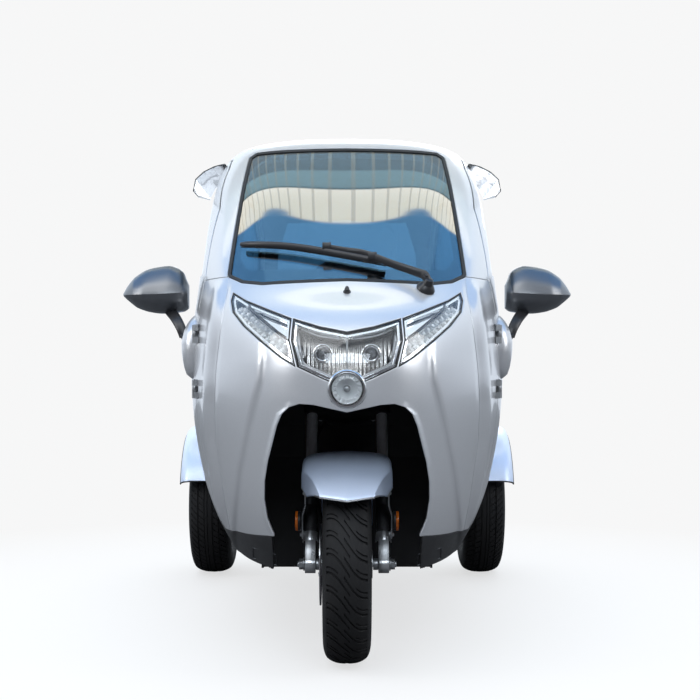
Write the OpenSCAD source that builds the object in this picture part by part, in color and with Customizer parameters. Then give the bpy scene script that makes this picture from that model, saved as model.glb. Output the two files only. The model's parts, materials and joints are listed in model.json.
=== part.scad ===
/* [Wheels and stance] */
// Distance from the front axle to the rear axle
wheelbase = 1500; // [1480:1:1520]
// Distance from the origin forward to the front axle
front_axle_ahead = 810; // [800:1:820]
// Distance between the middles of the two rear tyres
rear_track = 970; // [960:1:990]
// Outer radius of the front tyre
front_tyre_r = 248; // [240:1:250]
// Width of the front tyre
front_tyre_w = 120; // [110:1:124]
// Outer radius of the rear tyres
rear_tyre_r = 250; // [244:1:254]
// Width of the rear tyres
rear_tyre_w = 145; // [130:1:150]
// Radius of the bead seat of all the rims
bead_r = 152; // [148:1:156]
// Depth of the tyre wall from its outside to its inside
tyre_wall = 12; // [9:1:14]

/* [Front fork] */
// Rake of the steering axis from the vertical, in degrees
rake = 26; // [25:0.5:27]
// Distance from the steering axis forward to the fork legs
leg_offset = 35; // [32:1:38]
// Distance from the middle plane to each fork leg
leg_x = 93.5; // [92:0.5:96]
// Diameter of the lower sliders
slider_d = 38; // [34:1:40]
// Diameter of the upper fork tubes
stanchion_d = 30; // [26:1:31]
// Diameter of the steering stem
stem_d = 30; // [26:1:32]
// Outer diameter of the head tube
head_tube_d = 54; // [50:1:58]
// Diameter of the front wheel spindle
spindle_d = 16; // [14:1:18]
// Diameter of the front brake disc
disc_d = 210; // [200:1:220]
// Thickness of the front brake disc
disc_t = 4; // [3:0.5:5]

/* [Cabin] */
// Thickness of the fixed cabin walls
wall_t = 30; // [26:1:32]
// Thickness of the doors
door_t = 34; // [30:1:36]
// Thickness of the window glass
glass_t = 5; // [4:0.5:6]
// Depth of the glass below the outer surface
glass_depth = 4; // [3:0.5:6]
// Gap between fixed panels
seam = 0.8; // [0.6:0.1:1.2]
// Gap round each door and round the boot lid
door_gap = 6; // [5:0.5:7]
// Height of the front end of the boundary between skirt and body
skirt_top_z = 318; // [310:1:324]
// Height of the underside of the skirt
skirt_bottom_z = 250; // [246:1:256]
// Height of the waist seam under the pillars
waist_z = 986; // [980:1:992]
// Front edge of the doors, measured from the origin
door_front_y = -554; // [-558:1:-550]
// Rear edge of the doors
door_rear_y = 260; // [250:1:266]
// Width of the windscreen seal
seal_w = 9; // [7:1:11]
// Half width of the roof panel
roof_half_w = 292; // [280:1:296]
// Top of the cabin floor
floor_z = 300; // [296:1:306]
// Thickness of the cabin floor
floor_t = 12; // [8:1:14]

/* [Doors and lid] */
// Distance from the middle plane to each door hinge axis
hinge_x = 416; // [415:0.5:418]
// Diameter of the hinge pins
hinge_pin_d = 8; // [6:0.5:9]
// Length of each hinge barrel
hinge_len = 50; // [44:1:56]
// Half width of the boot lid
lid_half_w = 325; // [315:1:328]
// Bottom of the boot lid
lid_bottom_z = 562; // [555:1:570]
// Top of the boot lid
lid_top_z = 936; // [930:1:940]

/* [Chassis] */
// Distance from the middle plane to each frame rail
rail_x = 180; // [170:1:190]
// Width of the frame rails
rail_w = 40; // [36:1:44]
// Height of the frame rails
rail_h = 50; // [44:1:54]
// Diameter of the rear axle tube
axle_tube_d = 60; // [54:1:64]
// Diameter of the drive motor
motor_d = 200; // [190:1:206]
// Diameter of the rear wheel spindles
rear_spindle_d = 28; // [24:1:30]
// Distance from the middle plane to each leaf spring
spring_x = 228; // [224:1:232]

/* [Seats] */
// Half width of the driver's seat
driver_half_w = 210; // [200:1:215]
// Half width of the bench
bench_half_w = 275; // [260:1:282]
// Height of the seat cushions above their base
cushion_h = 90; // [80:1:96]

/* [Hidden] */
$fn = 48;

silver = "#c3c6ca";
black = "#1b1c1e";
dark_grey = "#3a3c3f";
tinted = [0.45, 0.62, 0.68, 0.55];
clear = [0.85, 0.88, 0.9, 0.5];
steel = "#8d9094";

front_axle_y = -front_axle_ahead;
front_axle_z = front_tyre_r;
rear_axle_y = front_axle_y + wheelbase;
rear_axle_z = rear_tyre_r;
fit = 0.05;
seat_gap = 0.3;
door_sill_z = skirt_top_z + door_gap;

// Sections of the body surface from the skirt up to the roof.
// Columns: height, front y, rear y behind the rear axle, half width, y of the widest place,
// roundness exponent of the front half, roundness exponent of the rear half.
SECTIONS = [
  [ 250, -1030,  310, 346,  -60, 2.1, 3.0],
  [ 330, -1060,  345, 390,  -60, 2.1, 3.0],
  [ 430, -1080,  372, 426,  -60, 2.1, 2.9],
  [ 560, -1094,  394, 452,  -60, 2.1, 2.8],
  [ 690, -1100,  412, 464,  -60, 2.1, 2.7],
  [ 790, -1086,  420, 464,  -60, 2.1, 2.7],
  [ 870, -1020,  414, 456,  -60, 2.3, 2.7],
  [ 950,  -890,  396, 442,  -60, 2.7, 2.7],
  [1050,  -752,  350, 430,  -60, 3.0, 2.7],
  [1160,  -612,  280, 422,  -50, 3.0, 2.7],
  [1270,  -470,  185, 410,    0, 3.0, 2.7],
  [1360,  -335,   75, 386,   50, 2.9, 2.7],
  [1415,  -235,  -30, 348,   90, 2.8, 2.6],
  [1447,  -125, -150, 275,  130, 2.6, 2.5],
  [1466,    10, -290, 165,  160, 2.4, 2.4],
  [1473,   180, -510,   0,  180, 2.2, 2.2]];
rings_per_section = 2;
points_around = 28;
skin_floor_z = 100;

// A row between two sections: a smooth curve through the four nearest ones.
function section_at(v) =
  let (n = len(SECTIONS) - 1,
       i = max(0, min(floor(v), n - 1)),
       f = v - i,
       b = SECTIONS[i],
       c = SECTIONS[i + 1],
       a = i > 0 ? SECTIONS[i - 1] : 2 * b - c,
       d = i + 2 <= n ? SECTIONS[i + 2] : 2 * c - b)
  (2 * b + (c - a) * f + (2 * a - 5 * b + 4 * c - d) * f * f
   + (3 * b - a - 3 * c + d) * f * f * f) / 2;

// A point of the surface: v counts sections upward, t turns once in 4 from the front by +X.
function surface_point(v, t) =
  let (s = section_at(v),
       u = t < 0 ? t + 4 : t > 4 ? t - 4 : t,
       side = u <= 2 ? 1 : -1,
       q = u <= 2 ? u : 4 - u,
       front = q <= 1,
       angle = (front ? q : 2 - q) * 90,
       n = front ? s[5] : s[6],
       reach = front ? s[1] - s[4] : rear_axle_y + s[2] - s[4])
  [side * s[3] * pow(sin(angle), 2 / n), s[4] + reach * pow(cos(angle), 2 / n), s[0]];

function surface_normal(v, t) =
  let (d = 0.02,
       n = cross(surface_point(v, t + d) - surface_point(v, t - d),
                 surface_point(v + d, t) - surface_point(v - d, t)))
  n / norm(n);

// The section count whose height is z, found by halving, and the surface there seen from the front.
function v_at(z, lo = 0, hi = len(SECTIONS) - 1, turns = 24) =
  let (mid = (lo + hi) / 2)
  turns == 0 ? mid
  : section_at(mid)[0] < z ? v_at(z, mid, hi, turns - 1) : v_at(z, lo, mid, turns - 1);
function front_y_at(x, z) =
  let (s = section_at(v_at(z)))
  s[4] + (s[1] - s[4]) * pow(1 - pow(min(abs(x) / s[3], 1), s[5]), 1 / s[5]);
// A point outside the front of the body by a distance forward, from its place in front view.
function on_front(x, z, ahead) = [x, front_y_at(x, z) - ahead, z];

// The solid inside the body surface, its wall moved inward by depth.
module skin(depth) {
  last = (len(SECTIONS) - 1) * rings_per_section - 1;
  n = points_around;
  rings = [for (k = [0 : last]) [for (j = [0 : n - 1])
             let (v = k / rings_per_section, t = 4 * j / n)
             surface_point(v, t) - depth * surface_normal(v, t)]];
  foot = [for (p = rings[0]) [p[0], p[1], skin_floor_z]];
  top = SECTIONS[len(SECTIONS) - 1];
  all_rings = concat([foot], rings);
  m = len(all_rings);
  points = concat([for (r = all_rings) for (p = r) p], [[0, top[4], top[0] - depth]]);
  sides = [for (k = [0 : m - 2]) for (j = [0 : n - 1])
             let (a = k * n + j, b = k * n + (j + 1) % n, c = b + n, d = a + n)
             each (j < n / 2 ? [[a, d, c], [a, c, b]] : [[a, d, b], [b, d, c]])];
  cap = [for (j = [0 : n - 1]) [(m - 1) * n + j, m * n, (m - 1) * n + (j + 1) % n]];
  polyhedron(points, concat([[for (j = [0 : n - 1]) j]], sides, cap), 10);
}

// The wall between two depths below the surface.
module wall(outer, inner) {
  difference() {
    skin(outer);
    skin(inner);
  }
}

// One body panel, taken as a single facetted shell.
module panel() {
  resize([0, 0, 0]) children();
}

// Extrude an outline drawn in front view, x across and z up.
module front_view(y0, y1) {
  translate([0, y1, 0]) rotate([90, 0, 0]) linear_extrude(y1 - y0) children();
}

// Extrude an outline drawn in side view, y across and z up.
module side_view(x0, x1) {
  translate([x0, 0, 0]) rotate([90, 0, 90]) linear_extrude(x1 - x0) children();
}

module both_sides() {
  children();
  mirror([1, 0, 0]) children();
}

function mirrored(half) = concat(half, [for (i = [len(half) - 1 : -1 : 0]) [-half[i][0], half[i][1]]]);

module soften(r) {
  offset(r = r, $fn = 16) offset(delta = -r) children();
}

// Front view of the seam between skirt and body; it rises to the wheel arch.
module skirt_region() {
  rise = 22;
  polygon([[-700, 0], [700, 0], [700, skirt_top_z], [320, skirt_top_z],
           [170, skirt_top_z + rise], [-170, skirt_top_z + rise],
           [-320, skirt_top_z], [-700, skirt_top_z]]);
}

// The space of the skirt, grown upward by a gap; behind the doors its top is level.
module skirt_room(gap) {
  front_view(far_front, 0) offset(delta = gap) skirt_region();
  translate([-700, -1, 0]) cube([1400, far_rear, skirt_top_z + gap]);
}

// Half widths of the front cowl, where it meets the front wings: x, z.
COWL_EDGE = [[292, 200], [306, 318], [318, 400], [327, 470], [340, 560], [342, 660],
             [336, 750], [324, 850], [314, 920], [308, 1000]];
// Half outline of the front wheel arch, from the bottom to the middle: x, z.
ARCH_EDGE = [[178, 150], [176, 343], [192, 381], [199, 428], [198, 472], [190, 520],
             [177, 569], [166, 610], [154, 638], [137, 655], [113, 663], [79, 661], [0, 644]];
// Half outline of the windscreen opening, from the middle of the bottom up: x, z.
SCREEN_EDGE = [[0, 966], [110, 962], [215, 958], [270, 966], [315, 988],
               [308, 1120], [300, 1260], [291, 1376], [270, 1392], [0, 1397]];
// Outline of the headlamp, right half from the top: x, z.
HEADLAMP_EDGE = [[0, 834], [65, 847], [130, 868], [134, 814], [119, 750], [63, 724], [30, 710], [0, 706]];
// Outline of the left side lamp: x, z.
SIDE_LAMP_EDGE = [[133.5, 868], [188, 890], [254, 918], [293, 942], [298, 921], [290, 888],
                  [258, 851], [209, 810], [163, 774], [122, 749], [137, 814]];
// Outline of the left door in side view: y, z. Its front edge follows the pillar.
DOOR_EDGE = [[door_front_y, door_sill_z], [door_rear_y, door_sill_z], [door_rear_y, 1330],
             [door_rear_y - 45, 1378], [-140, 1378], [-215, 1340], [-400, 1200],
             [door_front_y, waist_z + 8]];
// Outline of the left rear quarter window in side view: y, z.
QUARTER_EDGE = [[322, 1012], [800, 1012], [720, 1180], [600, 1310], [540, 1335], [322, 1345]];
// Half outline of the rear window: x, z.
REAR_WINDOW_EDGE = [[0, 1010], [300, 1010], [285, 1180], [240, 1310], [0, 1330]];
// Outline of the left tail lamp in rear view: x, z.
TAIL_LAMP_EDGE = [[338, 640], [366, 652], [384, 740], [384, 850], [362, 900], [338, 890]];

module arch_outline() { polygon(mirrored(ARCH_EDGE)); }
module screen_outline() { soften(14) polygon(mirrored(SCREEN_EDGE)); }
module cowl_outline() {
  difference() {
    offset(delta = -seam / 2) polygon(mirrored(COWL_EDGE));
    translate([-500, waist_z - seam / 2]) square([1000, 200]);
    offset(delta = seam) screen_outline();
  }
}
module door_outline() { soften(24) polygon(DOOR_EDGE); }
module door_window_outline() {
  soften(16) intersection() {
    offset(delta = -42) polygon(DOOR_EDGE);
    translate([-700, waist_z + 22]) square([1400, 600]);
  }
}
module quarter_outline() { soften(20) polygon(QUARTER_EDGE); }
module rear_window_outline() { soften(24) polygon(mirrored(REAR_WINDOW_EDGE)); }
module lid_outline() {
  soften(30) translate([-lid_half_w, lid_bottom_z])
    square([2 * lid_half_w, lid_top_z - lid_bottom_z]);
}
module roof_outline() {
  soften(60) translate([-roof_half_w, -190]) square([2 * roof_half_w, 760]);
}
module tail_lamp_outline() { soften(8) polygon(TAIL_LAMP_EDGE); }

far_front = -1300;
far_rear = 1300;
nose_lamp_d = 92;
nose_lamp_z = 699;
nose_lamp_y = -1110;
lamp_depth = 70;

// Everything that the front lamps need out of the cowl.
module lamp_openings(grow) {
  front_view(far_front, -700) offset(delta = grow) polygon(mirrored(HEADLAMP_EDGE));
  both_sides() front_view(far_front, -700) offset(delta = grow) polygon(SIDE_LAMP_EDGE);
  nose_lamp_hole(seat_gap);
}

module nose_lamp_hole(grow) {
  translate([0, -1000, nose_lamp_z]) rotate([90, 0, 0])
    cylinder(d = nose_lamp_d + 2 * grow, h = 300);
}

module front_cowl() {
  color(silver) panel() difference() {
    intersection() {
      wall(0, wall_t);
      front_view(far_front, door_front_y) cowl_outline();
    }
    skirt_room(seam);
    front_view(far_front, 0) arch_outline();
    lamp_openings(0);
  }
}

hinge_zs = [690, 840];

module front_wings() {
  color(silver) both_sides() panel() difference() {
    intersection() {
      wall(0, wall_t);
      translate([0, far_front, 0]) cube([700, door_front_y - door_gap - far_front, waist_z - seam / 2]);
    }
    front_view(far_front, 0) offset(delta = seam / 2) polygon(mirrored(COWL_EDGE));
    skirt_room(seam);
    front_view(far_front, 0) offset(delta = seam) screen_outline();
    hinge_pockets(hinge_len / 2, -46 - seat_gap);
  }
}

module hinge_pockets(half_len, y_from) {
  for (z = hinge_zs)
    translate([hinge_x - 14 - seat_gap, door_front_y - door_gap + y_from, z - half_len - seat_gap])
      cube([60, 60 - y_from, 2 * half_len + 2 * seat_gap]);
}

module cab_frame() {
  color(silver) panel() difference() {
    wall(0, wall_t);
    translate([-700, far_front, 0]) cube([1400, 2600, waist_z + seam / 2]);
    front_view(far_front, 300) screen_outline();
    both_sides() side_view(0, 700) offset(delta = door_gap) door_outline();
    both_sides() side_view(200, 700) quarter_outline();
    front_view(400, far_rear) rear_window_outline();
    translate([0, 0, 1380]) linear_extrude(200) offset(delta = seam) roof_outline();
  }
}

module roof_panel() {
  color(silver) panel() intersection() {
    wall(0, wall_t);
    translate([0, 0, 1380]) linear_extrude(200) roof_outline();
  }
}

arch_clear = 42;
wheelhouse_x = rear_track / 2 - rear_tyre_w / 2 - 12;

module rear_wheel_space(r, inset = 0) {
  both_sides() translate([wheelhouse_x - inset, rear_axle_y, rear_axle_z]) rotate([0, 90, 0])
    cylinder(r = r, h = 300, $fn = 64);
}

module rear_body() {
  color(silver) panel() difference() {
    union() {
      wall(0, wall_t);
      intersection() {
        wall(0, 2 * wall_t);
        rear_wheel_space(rear_tyre_r + arch_clear + 20, wall_t);
      }
    }
    translate([-700, far_front, 0]) cube([1400, door_rear_y + door_gap - far_front, 2000]);
    translate([-700, 0, waist_z - seam / 2]) cube([1400, far_rear, 1000]);
    skirt_room(seam);
    rear_wheel_space(rear_tyre_r + arch_clear);
    front_view(600, far_rear) offset(delta = door_gap) lid_outline();
    both_sides() front_view(600, far_rear) tail_lamp_outline();
    for (x = lid_hinge_xs) lid_hinge_pocket(x);
  }
}

module lower_skirt() {
  color(black) panel() difference() {
    intersection() {
      wall(0, wall_t);
      skirt_room(0);
      translate([-700, far_front, skirt_bottom_z]) cube([1400, 2600, 200]);
    }
    front_view(far_front, 0) offset(delta = 6) arch_outline();
    rear_wheel_space(rear_tyre_r + arch_clear);
    translate([-700, rear_axle_y - axle_tube_d, 0]) cube([1400, 2 * axle_tube_d, rear_axle_z + 200]);
  }
}

module windscreen() {
  color(tinted) panel() intersection() {
    wall(glass_depth, glass_depth + glass_t);
    front_view(far_front, 300) offset(delta = -seal_w - seat_gap) screen_outline();
  }
}

module windscreen_seal() {
  color(black) panel() intersection() {
    wall(2, 2 + 3 * glass_t);
    front_view(far_front, 300) difference() {
      offset(delta = -seat_gap) screen_outline();
      offset(delta = -seal_w) screen_outline();
    }
  }
}

module glass_sheet() {
  panel() intersection() {
    wall(glass_depth, glass_depth + glass_t);
    children();
  }
}

module rear_glazing() {
  color(tinted) {
    both_sides() glass_sheet() side_view(200, 700) offset(delta = -seat_gap) quarter_outline();
    glass_sheet() front_view(400, far_rear) offset(delta = -seat_gap) rear_window_outline();
  }
}

// Doors hang on two outside hinges at their front edge.
module door() {
  panel() difference() {
    intersection() {
      wall(0, door_t);
      side_view(0, 700) door_outline();
    }
    side_view(0, 700) door_window_outline();
    hinge_pockets(hinge_len / 2, -door_gap);
  }
  door_leaf();
}
module door_glass() {
  glass_sheet() side_view(0, 700) offset(delta = -seat_gap) door_window_outline();
  visor();
}

VISOR_ARC = [[376, 1374], [404, 1364], [434, 1340], [452, 1308], [449, 1276]];
module visor_room() {
  polygon(concat([[300, 1200], [300, 1500], [340, 1500]], VISOR_ARC, [[440, 1200]]));
}
module visor() {
  panel() difference() {
    side_view(0, 700) soften(20)
      polygon([[-330, 1262], [-180, 1262], [190, 1300], [190, 1376], [-120, 1376]]);
    front_view(-600, 600) difference() {
      translate([0, 1000]) square([900, 800]);
      visor_room();
    }
    front_view(-600, 600) offset(delta = -3) visor_room();
    skin(-seat_gap);
  }
}

module hinge_barrel(z0, z1, bore) {
  translate([hinge_x, door_front_y - door_gap, z0]) difference() {
    cylinder(d = 2 * hinge_pin_d, h = z1 - z0);
    if (bore) translate([0, 0, -1]) cylinder(d = hinge_pin_d + 2 * fit, h = z1 - z0 + 2);
  }
}
hinge_third = hinge_len / 3;
leaf_t = 6;
leaf_l = 46;
leaf_in = 14;
module body_hinges() {
  color(steel) {
    both_sides() for (z = hinge_zs) {
      hinge_barrel(z - hinge_len / 2, z - hinge_third / 2, false);
      hinge_barrel(z + hinge_third / 2, z + hinge_len / 2, false);
      translate([hinge_x, door_front_y - door_gap, z - hinge_len / 2])
        cylinder(d = hinge_pin_d, h = hinge_len);
      for (end = [-1, 1])
        translate([hinge_x - leaf_in, door_front_y - door_gap - leaf_l,
                   z + end * (hinge_len + hinge_third) / 4 - (hinge_len - hinge_third) / 4])
          cube([leaf_t + 6, leaf_l, (hinge_len - hinge_third) / 2]);
    }
    for (x = lid_hinge_xs) lid_hinge_fixed(x);
  }
}

module door_leaf() {
  for (z = hinge_zs) {
    hinge_barrel(z - hinge_third / 2 + seat_gap, z + hinge_third / 2 - seat_gap, true);
    translate([0, 0, z - hinge_third / 2 + seat_gap]) difference() {
      translate([hinge_x - leaf_in, door_front_y - door_gap, 0])
        cube([leaf_t + 4, leaf_l, hinge_third - 2 * seat_gap]);
      translate([hinge_x, door_front_y - door_gap, -1]) cylinder(d = 2 * hinge_pin_d - 1, h = 60);
    }
  }
}

lid_hinge_xs = [-100, 100];
lid_hinge_y = rear_axle_y + 406;
lid_hinge_z = lid_top_z + door_gap / 2;
lid_hinge_len = 48;
lid_third = lid_hinge_len / 3;
strap_l = 40;
strap_depth = 30;

// A barrel along X at the lid hinge, from one place to another beside its middle.
module lid_barrel(x, x0, x1, bore) {
  translate([x + x0, lid_hinge_y, lid_hinge_z]) rotate([0, 90, 0]) difference() {
    cylinder(d = 2 * hinge_pin_d, h = x1 - x0);
    if (bore) translate([0, 0, -1]) cylinder(d = hinge_pin_d + 2 * fit, h = x1 - x0 + 2);
  }
}
module lid_hinge_fixed(x) {
  lid_barrel(x, -lid_hinge_len / 2, -lid_third / 2, false);
  lid_barrel(x, lid_third / 2, lid_hinge_len / 2, false);
  translate([x - lid_hinge_len / 2, lid_hinge_y, lid_hinge_z]) rotate([0, 90, 0])
    cylinder(d = hinge_pin_d, h = lid_hinge_len);
  for (x0 = [-lid_hinge_len / 2, lid_third / 2])
    translate([x + x0, lid_hinge_y - hinge_pin_d - strap_depth, lid_hinge_z])
      cube([(lid_hinge_len - lid_third) / 2, strap_depth + hinge_pin_d / 2, strap_l]);
}
module lid_hinge_moving(x) {
  lid_barrel(x, -lid_third / 2 + seat_gap, lid_third / 2 - seat_gap, true);
  translate([x - lid_third / 2 + seat_gap, 0, 0]) difference() {
    translate([0, lid_hinge_y - hinge_pin_d - strap_depth, lid_hinge_z - strap_l])
      cube([lid_third - 2 * seat_gap, strap_depth + hinge_pin_d / 2, strap_l]);
    translate([-1, lid_hinge_y, lid_hinge_z]) rotate([0, 90, 0])
      cylinder(d = 2 * hinge_pin_d - 1, h = 60);
  }
}
// Room for both straps in the rear panels.
module lid_hinge_pocket(x) {
  translate([x - lid_hinge_len / 2 - 1, lid_hinge_y - hinge_pin_d - strap_depth - seat_gap,
             lid_hinge_z - strap_l - seat_gap])
    cube([lid_hinge_len + 2, 60, 2 * strap_l + 2 * seat_gap]);
}

module boot_lid() {
  color(silver) {
    panel() difference() {
      intersection() {
        wall(0, wall_t);
        front_view(600, far_rear) lid_outline();
      }
      for (x = lid_hinge_xs) lid_hinge_pocket(x);
    }
    for (x = lid_hinge_xs) lid_hinge_moving(x);
  }
}

module tail_lamps() {
  color("#a3282c") both_sides() panel() intersection() {
    wall(-2, wall_t - 6);
    front_view(600, far_rear) offset(delta = -seat_gap) tail_lamp_outline();
  }
}

// Lamp trays behind the lenses, each open to the front.

module lamp_trays() {
  color(steel) {
    panel() difference() {
      lamp_tray_body() polygon(mirrored(HEADLAMP_EDGE));
      nose_lamp_hole(seat_gap);
    }
    both_sides() panel() lamp_tray_body() polygon(SIDE_LAMP_EDGE);
  }
}
module lamp_tray_body() {
  difference() {
    intersection() {
      wall(7, lamp_depth);
      front_view(far_front, -700) offset(delta = -seat_gap) children();
    }
    intersection() {
      wall(0, lamp_depth - 8);
      front_view(far_front, -700) offset(delta = -5) children();
    }
  }
}

lens_t = 4;
module lamp_lens() {
  intersection() {
    wall(1, 1 + lens_t);
    front_view(far_front, -700) offset(delta = -seat_gap) children();
  }
}
module headlamp_lens() {
  color(clear) {
    panel() difference() {
      lamp_lens() polygon(mirrored(HEADLAMP_EDGE));
      nose_lamp_hole(seat_gap);
    }
    both_sides() panel() lamp_lens() polygon(SIDE_LAMP_EDGE);
  }
}

module nose_lamp() {
  color(clear) translate([0, nose_lamp_y, nose_lamp_z]) rotate([-90, 0, 0])
    rotate_extrude() polygon([[0, 0], [18, 0.5], [32, 3], [nose_lamp_d / 2 - 4, 8],
                              [nose_lamp_d / 2, 12], [nose_lamp_d / 2, 60], [0, 60]]);
}

// Black inner arch over the front wheel, open below and to the front.
liner_half_w = 236;
liner_t = 6;
liner_back_y = -505;
liner_foot_z = 195;
module liner_side(grow) {
  polygon([[-1200, liner_foot_z - 1], [liner_back_y + grow, liner_foot_z - 1],
           [liner_back_y + 8 + grow, 500], [-520 + grow, 590],
           [-560 + grow, 645 + grow], [-610, 676 + grow], [-1200, 690 + grow]]);
}
module arch_liner() {
  color(black) panel() difference() {
    intersection() {
      side_view(-liner_half_w, liner_half_w) liner_side(liner_t);
      skin(wall_t + seat_gap);
    }
    side_view(-liner_half_w + liner_t, liner_half_w - liner_t) liner_side(0);
    translate([-400, far_front, 0]) cube([800, liner_back_y - 20 - far_front, skirt_bottom_z]);
    translate([-400, far_front, 0]) cube([800, 2000, liner_foot_z]);
    nose_lamp_hole(2);
    along_steering() translate([0, 0, clamp_s - 40]) cylinder(d = head_tube_d + 8, h = 200);
    lamp_room(2);
  }
}
// What the lamps and their trays fill, and a margin.
module lamp_room(margin) {
  intersection() {
    skin(-1);
    difference() {
      skin(-1);
      skin(lamp_depth + margin);
    }
    union() {
      front_view(far_front, -700) offset(delta = margin) polygon(mirrored(HEADLAMP_EDGE));
      both_sides() front_view(far_front, -700) offset(delta = margin) polygon(SIDE_LAMP_EDGE);
    }
  }
}

// The steering axis passes behind the wheel spindle by the leg offset.
steer_foot = [0, front_axle_y + leg_offset * cos(rake), front_axle_z - leg_offset * sin(rake)];
module along_steering() {
  translate(steer_foot) rotate([-rake, 0, 0]) children();
}

fork_end_d = 46;
fork_end_t = 28;
// Place along the leg of the boss that holds the mudguard's stay.
boss_s = 80;
spindle_half = 126;
clamp_s = 415;
clamp_t = 30;
head_s0 = clamp_s + clamp_t + 5;
head_s1 = 620;
stem_s = 760;

module fork() {
  color(steel) {
    along_steering() {
      both_sides() translate([leg_x, -leg_offset, 0]) {
        translate([0, 0, 20]) cylinder(d = slider_d, h = 190);
        translate([0, 0, 200]) cylinder(d = stanchion_d, h = clamp_s + clamp_t - 200);
      }
      translate([0, 0, clamp_s]) linear_extrude(clamp_t) hull() {
        both_sides() translate([leg_x, -leg_offset]) circle(d = stanchion_d + 16);
        circle(d = head_tube_d);
      }
      translate([0, 0, clamp_s]) cylinder(d = stem_d, h = stem_s - clamp_s);
    }
    both_sides() fork_end();
    spindle();
  }
}
// Flat cast end of a leg, with the eye that holds the wheel spindle.
module fork_end() {
  translate([leg_x - fork_end_t / 2, front_axle_y, front_axle_z]) rotate([-rake, 0, 0])
    rotate([90, 0, 90]) linear_extrude(fork_end_t) {
      circle(d = fork_end_d);
      polygon([[-fork_end_d / 2, 0], [fork_end_d / 2, 0], [slider_d / 2 - 1, boss_s - 10],
               [1 - slider_d / 2, boss_s - 10]]);
    }
  translate([leg_x, front_axle_y, front_axle_z]) rotate([-rake, 0, 0])
    translate([0, 0, boss_s]) rotate([0, 90, 0]) cylinder(d = 22, h = slider_d / 2);
}
module spindle() {
  translate([-spindle_half, front_axle_y, front_axle_z]) rotate([0, 90, 0])
    cylinder(d = spindle_d, h = 2 * spindle_half);
}

// The caliper straddles the disc behind the leg on the right of the vehicle.
disc_x = -67;
caliper_l = 52;
caliper_h = 66;
bracket_s = 44;
// Just behind the fork end, whose cast side tapers upward.
bracket_u = fork_end_d / 2 - (fork_end_d / 2 - slider_d / 2 + 1) * bracket_s / (boss_s - 10) + seat_gap;
module brake_caliper() {
  color(dark_grey) along_steering() translate([0, -leg_offset, 0]) difference() {
    union() {
      translate([-leg_x + slider_d / 2 + seat_gap, bracket_u + 12, 28]) cube([24, caliper_l, caliper_h]);
      translate([-leg_x - 12, bracket_u, bracket_s]) cube([36, 20, 34]);
    }
    translate([disc_x - disc_t / 2 - 2, 0, 0]) rotate([0, 90, 0])
      cylinder(d = disc_d + 8, h = disc_t + 4);
  }
}

// Front mudguard: a shell of revolution about the wheel, its front corners cut away,
// narrower behind where it passes between the fork legs, on two flat stays.
fender_r = 272;
fender_w = 113;
fender_flange = 44;
fender_t = 4;
fender_front_angle = 49;
fender_rear_angle = 76;
stay_x = leg_x + slider_d / 2 + seat_gap;
stay_t = 3;
stay_w = 20;
stay_bolt_d = 9;
// The mudguard narrows forward to its lip, like a beak.
beak_half_w = 66;
beak_l = 106;
beak_y = front_axle_y - fender_r * sin(fender_front_angle);
module front_fender() {
  color("#8fa0b4") {
    difference() {
      translate([0, front_axle_y, front_axle_z]) rotate([0, 90, 0])
        rotate([0, 0, 180 - fender_rear_angle])
          rotate_extrude(angle = fender_rear_angle + fender_front_angle, $fn = 64)
            polygon(concat(fender_profile(fender_r, fender_w, false),
                           fender_profile(fender_r - fender_t, fender_w - fender_t, true)));
      along_steering() both_sides()
        translate([leg_x - 23, -leg_offset - 22, boss_s + 10]) cube([60, 400, 400]);
      both_sides() translate([0, 0, front_axle_z]) linear_extrude(400)
        polygon([[beak_half_w, beak_y - 60], [beak_half_w, beak_y],
                 [fender_w + 1, beak_y + beak_l], [fender_w + 60, beak_y + beak_l],
                 [fender_w + 60, beak_y - 60]]);
    }
    both_sides() difference() {
      translate([stay_x, front_axle_y + boss_s * sin(rake), front_axle_z + boss_s * cos(rake)])
        rotate([24, 0, 0]) translate([0, -stay_w / 2, -stay_w / 2]) cube([stay_t, stay_w, 200]);
      along_steering() translate([stay_x - 1, -leg_offset, boss_s]) rotate([0, 90, 0])
        cylinder(d = stay_bolt_d, h = stay_t + 2);
    }
  }
}
// Half of the mudguard's section, from one edge over the crown to the other.
function fender_profile(r, w, back) =
  let (low = r - fender_flange,
       side = [[low, -w], [r - 6, -w], [r + 2, -w + 8], [r + 13, -64], [r + 17, 0],
               [r + 13, 64], [r + 2, w - 8], [r - 6, w], [low, w]],
       n = len(side) - 1)
  [for (i = [0 : n]) side[back ? n - i : i]];

module handlebar() {
  color(black) along_steering() translate([0, 0, stem_s + seat_gap]) {
    cylinder(d = 44, h = 40);
    both_sides() translate([0, 0, 22]) rotate([0, 90, 10]) {
      cylinder(d = 22, h = 190);
      translate([0, 0, 190]) cylinder(d = 34, h = 122);
    }
  }
}

module instrument_pod() {
  color(dark_grey) along_steering() translate([0, -8, stem_s + 40 + 2 * seat_gap])
    rotate_extrude() polygon([[0, 0], [62, 0], [96, 22], [104, 40], [98, 56], [70, 74], [0, 84]]);
}

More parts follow.
